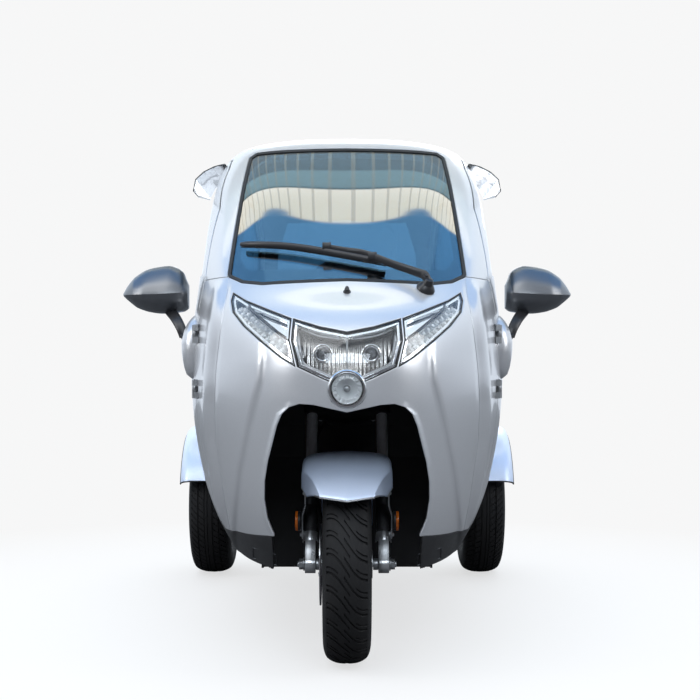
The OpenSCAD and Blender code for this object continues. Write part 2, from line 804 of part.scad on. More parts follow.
// Tyre as an open ring that grips the rim at its beads.
module tyre(r, w) {
  rotate([0, 90, 0]) rotate_extrude($fn = 64)
    polygon([[bead_r, -w * 0.36], [bead_r + 22, -w * 0.48], [r * 0.82, -w / 2], [r - 22, -w * 0.46],
             [r - 8, -w * 0.34], [r, -w * 0.14], [r, w * 0.14], [r - 8, w * 0.34], [r - 22, w * 0.46],
             [r * 0.82, w / 2], [bead_r + 22, w * 0.48], [bead_r, w * 0.36],
             [bead_r, w * 0.36 - tyre_wall], [bead_r + 22, w * 0.48 - tyre_wall],
             [r * 0.82, w / 2 - tyre_wall], [r - 22 - tyre_wall / 2, w * 0.46 - tyre_wall],
             [r - tyre_wall - 2, w * 0.14], [r - tyre_wall - 2, -w * 0.14],
             [r - 22 - tyre_wall / 2, -w * 0.46 + tyre_wall], [r * 0.82, -w / 2 + tyre_wall],
             [bead_r + 22, -w * 0.48 + tyre_wall], [bead_r, -w * 0.36 + tyre_wall]]);
}

module rim(w, hub_r, hub_half, bore) {
  spokes = 5;
  rotate([0, 90, 0]) difference() {
    union() {
      rotate_extrude($fn = 64) polygon([[bead_r - 14, -w * 0.36], [bead_r - seat_gap, -w * 0.36],
        [bead_r - seat_gap, w * 0.36], [bead_r - 14, w * 0.36], [bead_r - 22, 0]]);
      translate([0, 0, -hub_half]) cylinder(r = hub_r, h = 2 * hub_half);
      for (i = [0 : spokes - 1]) rotate([0, 0, i * 360 / spokes])
        translate([hub_r - 6, -17, -14]) cube([bead_r - 18 - hub_r + 6, 34, 28]);
    }
    translate([0, 0, -200]) cylinder(r = bore, h = 400);
  }
}

module front_tyre() {
  color(black) translate([0, front_axle_y, front_axle_z]) tyre(front_tyre_r, front_tyre_w);
}
module front_rim() {
  color(steel) translate([0, front_axle_y, front_axle_z])
    rim(front_tyre_w, 36, -disc_x - disc_t / 2 - seat_gap, spindle_d / 2 + fit);
}
module brake_disc() {
  color("silver") translate([disc_x - disc_t / 2, front_axle_y, front_axle_z]) rotate([0, 90, 0])
    difference() {
      cylinder(d = disc_d, h = disc_t, $fn = 96);
      translate([0, 0, -1]) cylinder(r = spindle_d / 2 + 12, h = disc_t + 2);
      for (i = [0 : 5]) rotate([0, 0, i * 60]) translate([62, 0, -1]) cylinder(d = 26, h = disc_t + 2);
    }
}

rear_hub_half = 60;
module rear_wheel_place(side) {
  translate([side * rear_track / 2, rear_axle_y, rear_axle_z]) children();
}
module rear_tyre(side) {
  color(black) rear_wheel_place(side) tyre(rear_tyre_r, rear_tyre_w);
}
module rear_rim(side) {
  color(steel) rear_wheel_place(side) rim(rear_tyre_w, 44, rear_hub_half, rear_spindle_d / 2 + fit);
}
module rear_tyre_left() { rear_tyre(1); }
module rear_tyre_right() { rear_tyre(-1); }
module rear_rim_left() { rear_rim(1); }
module rear_rim_right() { rear_rim(-1); }

// Mudguard arcs over the rear wheels; they reach inward to the body or to the wheel house.
rear_fender_r = rear_tyre_r + arch_clear - 4;
rear_fender_t = 5;
rear_fender_in = wheelhouse_x - 50;
rear_fender_out = rear_track / 2 + rear_tyre_w / 2 + 26;
module rear_fenders() {
  inner = wheelhouse_x + seat_gap;
  out = rear_fender_out;
  t = rear_fender_t;
  color("#8fa0b4") both_sides() panel() difference() {
    translate([0, rear_axle_y, rear_axle_z]) rotate([0, 90, 0])
      rotate([0, 0, 111]) rotate_extrude(angle = 138, $fn = 64)
        polygon([[rear_fender_r, rear_fender_in], [rear_fender_r, out - 24], [rear_fender_r - 14, out - 6],
                 [rear_fender_r - 30, out], [rear_fender_r - 30, out - t],
                 [rear_fender_r - 14, out - 6 - t], [rear_fender_r - t, out - 28],
                 [rear_fender_r - t, rear_fender_in]]);
    intersection() {
      skin(-seat_gap);
      cube([inner, far_rear, 800]);
    }
  }
}

spring_half_front = 300;
spring_half_rear = 165;
spring_w = 44;
spring_t = 14;
rail_low_z = floor_z - floor_t - seat_gap - rail_h;
rail_high_z = 345;
rail_end_y = rear_axle_y + 210;
rail_kick_y = rear_axle_y - 320;
member_w = 40;
tow_hole_d = 11;
spring_eye_z = 322;
module rear_axle() {
  color(dark_grey) {
    translate([0, rear_axle_y, rear_axle_z]) rotate([0, 90, 0]) {
      hub_x = rear_track / 2 - rear_hub_half - 1;
      translate([0, 0, -hub_x]) cylinder(d = axle_tube_d, h = 2 * hub_x);
      translate([0, 0, -hub_x - 2 * rear_hub_half - 12])
        cylinder(d = rear_spindle_d, h = 2 * hub_x + 4 * rear_hub_half + 24);
      translate([0, 0, -90]) cylinder(d = motor_d, h = 180);
    }
    both_sides() side_view(spring_x - spring_w / 2, spring_x + spring_w / 2) leaf_spring();
  }
}
// Side view of a leaf spring, flat where it sits on the axle tube.
module leaf_spring() {
  seat_z = rear_axle_z + axle_tube_d / 2 + seat_gap;
  polygon([[rear_axle_y - spring_half_front, spring_eye_z], [rear_axle_y - 60, seat_z],
           [rear_axle_y + 60, seat_z], [rear_axle_y + spring_half_rear, spring_eye_z],
           [rear_axle_y + spring_half_rear, spring_eye_z + spring_t],
           [rear_axle_y + 60, seat_z + spring_t], [rear_axle_y - 60, seat_z + spring_t],
           [rear_axle_y - spring_half_front, spring_eye_z + spring_t]]);
}

module chassis_frame() {
  half = spring_x + spring_w / 2;
  color(dark_grey) difference() {
    chassis_bars(half);
    both_sides() translate([rail_x, rail_end_y - 20, rail_high_z - 1])
      cylinder(d = tow_hole_d, h = rail_h + 2);
  }
}
rail_front_y = -480;
member_half = bench_half_w + 5;
module chassis_bars(half) {
  union() {
    both_sides() side_view(rail_x - rail_w / 2, rail_x + rail_w / 2)
      polygon([[rail_front_y, rail_low_z], [rail_kick_y + 20, rail_low_z],
               [rail_kick_y + 90, rail_high_z], [rail_end_y, rail_high_z],
               [rail_end_y, rail_high_z + rail_h], [rail_kick_y + 65, rail_high_z + rail_h],
               [rail_kick_y, rail_low_z + rail_h], [rail_front_y, rail_low_z + rail_h]]);
    for (y = [rail_front_y, -150, rail_kick_y - member_w])
      translate([-member_half, y, rail_low_z]) cube([2 * member_half, member_w, rail_h]);
    for (y = [rear_axle_y + spring_half_rear - member_w, rail_kick_y + 95])
      translate([-half, y, rail_high_z]) cube([2 * half, member_w, rail_h]);
    spring_hangers();
    head_tube();
  }
}
// Hangers that carry the spring ends under the rails.
module spring_hangers() {
  top = spring_eye_z + spring_t + seat_gap;
  both_sides() {
    translate([spring_x - spring_w / 2, rear_axle_y + spring_half_rear - 40, top])
      cube([spring_w, 40, rail_high_z - top + 1]);
    translate([rail_x, rear_axle_y - spring_half_front, top])
      cube([spring_x + spring_w / 2 - rail_x, 40, rail_h - 20]);
  }
}
post_w = 40;
post_h = 480;
brace_z = 665;
module head_tube() {
  difference() {
    union() {
      along_steering() translate([0, 0, head_s0]) cylinder(d = head_tube_d, h = head_s1 - head_s0);
      translate([-post_w / 2, rail_front_y, rail_low_z]) cube([post_w, post_w, post_h]);
      translate([-post_w / 2, rail_front_y - 65, brace_z]) cube([post_w, 90, 60]);
    }
    along_steering() translate([0, 0, head_s0 - 50]) cylinder(d = stem_d + 2 * fit, h = head_s1);
  }
}

floor_front_y = rail_front_y + 42;
floor_l = 803;
module floor_pan() {
  color(black) panel() intersection() {
    skin(wall_t + seat_gap);
    translate([-600, floor_front_y, floor_z - floor_t]) cube([1200, floor_l, floor_t]);
  }
}

// Side view of the dashboard: its top, then its face, from the screen back to the knee panel.
dash_half_w = 420;
DASH_EDGE = [[-900, 905], [-760, 930], [-650, 930], [-625, 905], [-625, 730], [-650, 712], [-900, 712]];
module dashboard() {
  color(dark_grey) panel() difference() {
    intersection() {
      skin(wall_t + seat_gap);
      side_view(-dash_half_w, dash_half_w) polygon(DASH_EDGE);
    }
    lamp_room(4);
  }
}

seat_h = 200;
seat_back_t = 90;
seat_wall = 16;
driver_y = -160;
driver_l = 410;
driver_back_h = 560;
bench_y = 420;
bench_l = 320;
bench_back_h = 500;
module seat_bases() {
  half = driver_half_w + 10;
  deep = driver_l + 50;
  color(black) {
    difference() {
      translate([-half, driver_y + 30, floor_z + seat_gap]) cube([2 * half, deep, seat_h]);
      translate([seat_wall - half, driver_y + 30 + seat_wall, floor_z - 1])
        cube([2 * (half - seat_wall), deep - 2 * seat_wall, seat_h - 14]);
    }
    translate([-bench_half_w, bench_y + 20, rail_high_z + rail_h + seat_gap])
      cube([2 * bench_half_w, bench_l - 20, floor_z + seat_h - rail_high_z - rail_h]);
  }
}

battery_half_w = driver_half_w - 20;
battery_l = 400;
battery_h = 175;
module battery_pack() {
  color(steel) translate([-battery_half_w, driver_y + 60, floor_z + seat_gap])
    cube([2 * battery_half_w, battery_l, battery_h]);
}

// A cushion and a back, in one form for both rows.
module seat(half_w, y, l, back_h) {
  translate([-half_w, y, floor_z + seat_h + 2 * seat_gap]) {
    cube([2 * half_w, l - seat_gap, cushion_h]);
    translate([0, l, 0]) cube([2 * half_w, seat_back_t, back_h]);
  }
}
module driver_seat() { color(dark_grey) seat(driver_half_w, driver_y, driver_l, driver_back_h); }

module bench_seat() { color(dark_grey) seat(bench_half_w, bench_y, bench_l, bench_back_h); }

tub_half_w = 300;
tub_y = rear_axle_y + 160;
tub_z = lid_bottom_z - 32;
tub_h = 270;
tub_t = 8;
module boot_tub() {
  color(black) panel() difference() {
    intersection() {
      translate([-tub_half_w, tub_y, tub_z]) cube([2 * tub_half_w, 300, tub_h]);
      skin(wall_t + seat_gap);
    }
    translate([-tub_half_w + tub_t, tub_y + tub_t, tub_z + tub_t])
      cube([2 * (tub_half_w - tub_t), 300, tub_h]);
  }
}

// Wiper: pivot, arm and blade follow the screen in front view; x, z of each stop.
WIPER_ARM = [[197, 945], [180, 962], [46, 1019], [-60, 1041]];
WIPER_BLADE = [[99, 1002], [-25, 1027], [-150, 1050], [-273, 1063]];
module strip(path, ahead, w, t) {
  for (i = [0 : len(path) - 2]) hull() for (p = [path[i], path[i + 1]])
    translate(on_front(p[0], p[1], ahead)) cube([w, t, w], center = true);
}
wiper_base_d = 34;
wiper_base_tilt = [48, 0, 12];
module wiper() {
  color(black) panel() difference() {
    union() {
      translate(on_front(WIPER_ARM[0][0], WIPER_ARM[0][1], 0)) rotate(wiper_base_tilt)
        translate([0, 0, -12]) cylinder(d = wiper_base_d, h = 34, $fn = 24);
      strip(WIPER_ARM, 22, 9, 8);
      strip(WIPER_BLADE, 12, 8, 18);
    }
    skin(-seat_gap);
  }
}

// Mirror housing, from the inner side out to its tip.
// Columns: x, top, height of the front edge, bottom, depth ahead of the glass.
MIRROR_STATIONS = [[461, 990, 963, 918, 58], [476, 1040, 962, 911, 76], [540, 1037, 958, 905, 84],
                   [588, 1025, 957, 914, 76], [618, 1005, 957, 929, 58], [637, 983, 958, 944, 36],
                   [650, 964, 960, 955, 10]];
mirror_glass_y = -332;
pod_at = [440, -450, 806];
pod_size = [64, 150, 186];
module mirror_section(r) {
  translate([r[0] - 0.5, mirror_glass_y, 0]) rotate([90, 0, 90]) linear_extrude(1)
    polygon([[0, r[3]], [0, r[1]], [-0.4 * r[4], r[1] - 2], [-0.82 * r[4], 0.45 * r[1] + 0.55 * r[2]],
             [-r[4], r[2]], [-0.86 * r[4], 0.5 * (r[2] + r[3])], [-0.45 * r[4], r[3] + 2]]);
}
module mirror_arm() {
  hull() {
    translate([487, -382, 905]) cube([40, 34, 8]);
    translate([462, -441, 832]) cube([22, 24, 10]);
  }
}
module mirror_shape() {
  panel() {
    difference() {
      translate(pod_at) scale(pod_size / 2) sphere(r = 1, $fn = 20);
      skin(-seat_gap);
    }
    mirror_arm();
    for (i = [0 : len(MIRROR_STATIONS) - 2]) hull() {
      mirror_section(MIRROR_STATIONS[i]);
      mirror_section(MIRROR_STATIONS[i + 1]);
    }
  }
}

module door_left() { color(silver) door(); }
module door_right() { color(silver) mirror([1, 0, 0]) door(); }
module door_glass_left() { color(tinted) door_glass(); }
module door_glass_right() { color(tinted) mirror([1, 0, 0]) door_glass(); }
module mirror_left() { color(black) mirror_shape(); }
module mirror_right() { color(black) mirror([1, 0, 0]) mirror_shape(); }

chassis_frame();
floor_pan();
front_cowl();
front_wings();
cab_frame();
roof_panel();
rear_body();
lower_skirt();
arch_liner();
windscreen();
windscreen_seal();
rear_glazing();
dashboard();
seat_bases();
battery_pack();
driver_seat();
bench_seat();
boot_tub();
lamp_trays();
headlamp_lens();
nose_lamp();
tail_lamps();
rear_fenders();
rear_axle();
wiper();
body_hinges();
fork();
front_fender();
handlebar();
instrument_pod();
brake_caliper();
front_tyre();
front_rim();
brake_disc();
rear_tyre_left();
rear_tyre_right();
rear_rim_left();
rear_rim_right();
door_left();
door_right();
door_glass_left();
door_glass_right();
mirror_left();
mirror_right();
boot_lid();
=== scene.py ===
"""Looks of the enclosed electric tricycle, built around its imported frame."""
import json
import math

import bpy
import bmesh
import numpy as np
from mathutils import Matrix, Vector, kdtree
from mathutils.geometry import delaunay_2d_cdt

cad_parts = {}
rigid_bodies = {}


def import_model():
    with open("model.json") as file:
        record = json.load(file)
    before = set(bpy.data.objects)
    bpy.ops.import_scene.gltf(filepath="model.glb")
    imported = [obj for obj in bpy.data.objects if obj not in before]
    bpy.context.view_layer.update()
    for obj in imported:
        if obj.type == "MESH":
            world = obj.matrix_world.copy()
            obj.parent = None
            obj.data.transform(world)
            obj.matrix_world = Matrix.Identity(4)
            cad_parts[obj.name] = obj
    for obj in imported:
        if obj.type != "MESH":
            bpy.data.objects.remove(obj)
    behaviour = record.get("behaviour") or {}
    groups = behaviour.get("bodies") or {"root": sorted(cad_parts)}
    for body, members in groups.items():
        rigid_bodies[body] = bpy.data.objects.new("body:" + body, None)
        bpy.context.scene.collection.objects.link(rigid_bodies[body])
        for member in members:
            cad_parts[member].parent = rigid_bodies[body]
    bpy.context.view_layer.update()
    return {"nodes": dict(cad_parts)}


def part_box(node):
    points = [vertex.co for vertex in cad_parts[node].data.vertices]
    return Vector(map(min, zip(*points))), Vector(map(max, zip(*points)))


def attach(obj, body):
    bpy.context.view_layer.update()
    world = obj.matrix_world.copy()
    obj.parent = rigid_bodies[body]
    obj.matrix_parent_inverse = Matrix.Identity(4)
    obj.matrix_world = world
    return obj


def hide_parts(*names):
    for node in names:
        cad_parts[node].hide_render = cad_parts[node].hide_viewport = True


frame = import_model()
NODES = frame["nodes"]
MM = 0.001
PALE = (0.928, 0.93, 0.932)


# ---------------------------------------------------------------- camera, stage and lights

def make_camera():
    cam = bpy.data.cameras.new("camera")
    cam.sensor_width = 36
    cam.lens = 36 * 1327 / 700
    cam.shift_x = 3 / 700
    cam.shift_y = 17 / 700
    cam.clip_end = 100
    obj = bpy.data.objects.new("camera", cam)
    obj.location = (0, -4.19, 0.75)
    obj.rotation_euler = (math.pi / 2, 0, 0)
    bpy.context.scene.collection.objects.link(obj)
    bpy.context.scene.camera = obj


def link_nodes(tree, *pairs):
    for a, b in pairs:
        tree.links.new(a, b)


def math_node(tree, kind, a, b=None, c=None):
    made = tree.nodes.new("ShaderNodeMath")
    made.operation = kind
    for i, value in enumerate((a, b, c)):
        if value is None:
            continue
        if hasattr(value, "is_linked"):
            tree.links.new(value, made.inputs[i])
        else:
            made.inputs[i].default_value = value
    return made.outputs[0]


def ramp_node(tree, fac, stops):
    ramp = tree.nodes.new("ShaderNodeValToRGB")
    elements = ramp.color_ramp.elements
    for i, (place, colour) in enumerate(stops):
        e = elements[i] if i < 2 else elements.new(place)
        e.position = place
        e.color = (*colour, 1)
    tree.links.new(fac, ramp.inputs[0])
    return ramp.outputs[0]


def make_world():
    """A bright sky above and behind, a dark yard below; mirrored surfaces also see a ribbed canopy."""
    world = bpy.data.worlds.new("studio")
    bpy.context.scene.world = world
    world.use_nodes = True
    tree = world.node_tree
    tree.nodes.clear()
    out = tree.nodes.new("ShaderNodeOutputWorld")
    path = tree.nodes.new("ShaderNodeLightPath")
    coord = tree.nodes.new("ShaderNodeTexCoord")
    split = tree.nodes.new("ShaderNodeSeparateXYZ")
    tree.links.new(coord.outputs["Generated"], split.inputs[0])
    x, y, z = split.outputs
    lean = math_node(tree, "MULTIPLY_ADD", z, 0.89, math_node(tree, "MULTIPLY", y, 0.45))
    sky = ramp_node(tree, math_node(tree, "MULTIPLY_ADD", lean, 0.5, 0.5),
                    [(0.0, (0.06, 0.06, 0.065)), (0.40, (0.09, 0.09, 0.10)), (0.50, (0.16, 0.17, 0.19)),
                     (0.60, (0.34, 0.37, 0.42)), (0.72, (0.62, 0.68, 0.76)), (1.0, (0.82, 0.92, 1.0))])
    light = tree.nodes.new("ShaderNodeBackground")
    light.inputs["Strength"].default_value = 1.45
    tree.links.new(sky, light.inputs["Color"])
    back = tree.nodes.new("ShaderNodeBackground")
    back.inputs["Color"].default_value = (*PALE, 1)
    mix = tree.nodes.new("ShaderNodeMixShader")
    link_nodes(tree, (path.outputs["Is Camera Ray"], mix.inputs[0]), (light.outputs[0], mix.inputs[1]),
               (back.outputs[0], mix.inputs[2]), (mix.outputs[0], out.inputs["Surface"]))


def make_canopy():
    """The ribbed canopy over the yard, which only mirroring surfaces see: blue sky, cream ribs, grey shade."""
    mat = bpy.data.materials.new("stage_canopy")
    mat.use_nodes = True
    tree = mat.node_tree
    tree.nodes.clear()
    out, glow = tree.nodes.new("ShaderNodeOutputMaterial"), tree.nodes.new("ShaderNodeEmission")
    coord, split = tree.nodes.new("ShaderNodeTexCoord"), tree.nodes.new("ShaderNodeSeparateXYZ")
    tree.links.new(coord.outputs["Object"], split.inputs[0])
    x, y, _ = split.outputs
    wave = math_node(tree, "MULTIPLY", math_node(tree, "COSINE", math_node(tree, "MULTIPLY", x, 5.2)), 0.022)
    bow = math_node(tree, "MULTIPLY_ADD", math_node(tree, "MULTIPLY", x, x), -0.27, y)
    place = math_node(tree, "MULTIPLY_ADD", math_node(tree, "ADD", bow, wave), 0.4, 0.4)
    bands = ramp_node(tree, place, [(0.0, (0.05, 0.15, 0.33)), (0.358, (0.05, 0.16, 0.34)), (0.364, (0.9, 0.85, 0.7)),
                                    (0.438, (1.0, 0.95, 0.82)), (0.444, (0.05, 0.07, 0.07)), (0.456, (0.19, 0.27, 0.29)),
                                    (0.55, (0.18, 0.26, 0.28)), (0.56, (0.10, 0.12, 0.13)), (1.0, (0.12, 0.13, 0.14))])
    lines = math_node(tree, "GREATER_THAN", math_node(tree, "SINE", math_node(tree, "MULTIPLY", x, 58.0)), 0.84)
    shade = tree.nodes.new("ShaderNodeMix")
    shade.data_type = "RGBA"
    shade.inputs[7].default_value = (0.3, 0.27, 0.2, 1)
    glow.inputs["Strength"].default_value = 3.0
    cream = math_node(tree, "MULTIPLY", math_node(tree, "GREATER_THAN", place, 0.361), 0.42)
    link_nodes(tree, (math_node(tree, "MULTIPLY", lines, cream), shade.inputs[0]), (bands, shade.inputs[6]),
               (shade.outputs[2], glow.inputs["Color"]), (glow.outputs[0], out.inputs["Surface"]))
    mesh = bpy.data.meshes.new("canopy")
    mesh.from_pydata([(-3, -1, 0), (-3, 1.5, 0), (3, 1.5, 0), (3, -1, 0)], [], [(0, 1, 2, 3)])
    mesh.materials.append(mat)
    canopy = bpy.data.objects.new("canopy", mesh)
    canopy.location = (0, 0, 2.6)
    bpy.context.scene.collection.objects.link(canopy)
    canopy.visible_camera = canopy.visible_diffuse = canopy.visible_shadow = False
    canopy.visible_transmission = canopy.visible_volume_scatter = False


def area_light(name, place, target, size, power, colour=(1, 1, 1)):
    data = bpy.data.lights.new(name, "AREA")
    data.shape = "RECTANGLE"
    data.size, data.size_y = size
    data.energy = power
    data.color = colour
    obj = bpy.data.objects.new(name, data)
    obj.location = place
    obj.rotation_euler = (Vector(target) - Vector(place)).to_track_quat("-Z", "Y").to_euler()
    bpy.context.scene.collection.objects.link(obj)


def make_stage():
    """A floor that the camera sees as pale as the background, with the vehicle's soft shadow on it."""
    mat = bpy.data.materials.new("stage_floor")
    mat.use_nodes = True
    tree = mat.node_tree
    bsdf, out = tree.nodes["Principled BSDF"], tree.nodes["Material Output"]
    bsdf.inputs["Roughness"].default_value = 0.8
    path = tree.nodes.new("ShaderNodeLightPath")
    place = tree.nodes.new("ShaderNodeTexCoord")
    length = tree.nodes.new("ShaderNodeVectorMath")
    length.operation = "LENGTH"
    tree.links.new(place.outputs["Object"], length.inputs[0])
    far = tree.nodes.new("ShaderNodeMapRange")
    tree.links.new(length.outputs["Value"], far.inputs[0])
    for i, value in ((1, 0.9), (2, 2.4), (3, 0.72), (4, 1.0)):
        far.inputs[i].default_value = value
    colour = tree.nodes.new("ShaderNodeMix")
    colour.data_type = "RGBA"
    colour.inputs[6].default_value = (0.09, 0.09, 0.095, 1)
    colour.inputs[7].default_value = (0.84, 0.85, 0.86, 1)
    glow = tree.nodes.new("ShaderNodeEmission")
    glow.inputs["Color"].default_value = (*PALE, 1)
    mix = tree.nodes.new("ShaderNodeMixShader")
    link_nodes(tree, (path.outputs["Is Camera Ray"], colour.inputs[0]), (colour.outputs[2], bsdf.inputs["Base Color"]),
               (math_node(tree, "MULTIPLY", far.outputs[0], path.outputs["Is Camera Ray"]), mix.inputs[0]),
               (bsdf.outputs[0], mix.inputs[1]), (glow.outputs[0], mix.inputs[2]), (mix.outputs[0], out.inputs["Surface"]))
    mesh = bpy.data.meshes.new("floor")
    mesh.from_pydata([(-14, -9, 0), (14, -9, 0), (14, 14, 0), (-14, 14, 0)], [], [(0, 1, 2, 3)])
    mesh.materials.append(mat)
    floor = bpy.data.objects.new("floor", mesh)
    bpy.context.scene.collection.objects.link(floor)
    area_light("key", (-1.8, -2.6, 4.6), (0, -0.2, 0.8), (3.4, 2.6), 50)
    area_light("front", (0, -3.6, 2.3), (0, -0.8, 0.6), (2.6, 1.0), 42, (0.82, 0.91, 1.0))
    area_light("left", (3.4, -1.6, 2.4), (0.2, -0.2, 0.9), (1.4, 2.0), 34)
    area_light("right", (-3.4, -1.6, 2.4), (-0.2, -0.2, 0.9), (1.4, 2.0), 34)
    area_light("top", (0, 0.8, 4.4), (0, 0.2, 0), (3.6, 3.0), 40)
    area_light("rear", (0.6, 4.4, 3.0), (0, 0.4, 0.8), (3.0, 2.4), 40)


make_camera()
make_world()
make_stage()
make_canopy()
scene = bpy.context.scene
scene.view_settings.view_transform = "Standard"


# ---------------------------------------------------------------- materials

def node(tree, kind, **values):
    made = tree.nodes.new(kind)
    for key, value in values.items():
        if key in made.inputs:
            made.inputs[key].default_value = value
        else:
            setattr(made, key, value)
    return made


def noise(tree, vector, scale, detail=3.0, rough=0.5):
    made = node(tree, "ShaderNodeTexNoise", Scale=scale, Detail=detail, Roughness=rough)
    tree.links.new(vector, made.inputs["Vector"])
    return made.outputs["Fac"]


def remap(tree, fac, low, high, from_low=0.0, from_high=1.0):
    made = node(tree, "ShaderNodeMapRange")
    for i, value in ((1, from_low), (2, from_high), (3, low), (4, high)):
        made.inputs[i].default_value = value
    tree.links.new(fac, made.inputs[0])
    return made.outputs[0]


def mix_colour(tree, fac, a, b):
    made = node(tree, "ShaderNodeMix", data_type="RGBA")
    tree.links.new(fac, made.inputs[0])
    for i, value in ((6, a), (7, b)):
        if hasattr(value, "is_linked"):
            tree.links.new(value, made.inputs[i])
        else:
            made.inputs[i].default_value = (*value, 1)
    return made.outputs[2]


def finish_material(name, colour, rough, metallic=0.0, tint=0.06, tint_scale=3.0, rough_var=0.08,
                    grain=0.0, grain_scale=900.0, wave=0.0, wave_scale=8.0, flake=0.0, dust=0.0,
                    dust_colour=(0.42, 0.40, 0.37), flute=0.0, **sockets):
    """A procedural finish: slow tint, roughness variation, fine grain, flakes, and dust low down."""
    mat = bpy.data.materials.new(name)
    mat.use_nodes = True
    tree = mat.node_tree
    bsdf = tree.nodes["Principled BSDF"]
    coord = node(tree, "ShaderNodeTexCoord").outputs["Object"]
    bsdf.inputs["Metallic"].default_value = metallic
    for key, value in sockets.items():
        bsdf.inputs[key].default_value = value
    dark = tuple(c * (1 - tint) for c in colour)
    light = tuple(min(1, c * (1 + tint)) for c in colour)
    shade = mix_colour(tree, noise(tree, coord, tint_scale), dark, light)
    if flake:
        cells = node(tree, "ShaderNodeTexVoronoi", Scale=1400.0)
        tree.links.new(coord, cells.inputs["Vector"])
        spark = remap(tree, cells.outputs["Color"], 0, flake, 0.3, 1.0)
        shade = mix_colour(tree, spark, shade, tuple(min(1, c * 1.5) for c in colour))
    if dust:
        split = node(tree, "ShaderNodeSeparateXYZ")
        tree.links.new(coord, split.inputs[0])
        low = remap(tree, split.outputs["Z"], dust, 0.0, 0.05, 0.5)
        patchy = node(tree, "ShaderNodeMath", operation="MULTIPLY")
        tree.links.new(low, patchy.inputs[0])
        tree.links.new(noise(tree, coord, 14.0, 6.0), patchy.inputs[1])
        shade = mix_colour(tree, patchy.outputs[0], shade, dust_colour)
    tree.links.new(shade, bsdf.inputs["Base Color"])
    spread = remap(tree, noise(tree, coord, 24.0, 4.0), max(0.02, rough - rough_var), rough + rough_var)
    tree.links.new(spread, bsdf.inputs["Roughness"])
    height = None
    if grain:
        height = node(tree, "ShaderNodeBump", Strength=grain, Distance=0.0006)
        tree.links.new(noise(tree, coord, grain_scale, 2.0), height.inputs["Height"])
    if wave:
        soft = node(tree, "ShaderNodeBump", Strength=wave, Distance=0.004)
        tree.links.new(noise(tree, coord, wave_scale, 1.0), soft.inputs["Height"])
        if height:
            tree.links.new(height.outputs[0], soft.inputs["Normal"])
        height = soft
    if flute:
        bands = node(tree, "ShaderNodeTexWave", Scale=flute, bands_direction="X", Distortion=0.0)
        tree.links.new(coord, bands.inputs["Vector"])
        height = node(tree, "ShaderNodeBump", Strength=0.9, Distance=0.004)
        tree.links.new(bands.outputs["Fac"], height.inputs["Height"])
    if height:
        tree.links.new(height.outputs[0], bsdf.inputs["Normal"])
    return mat


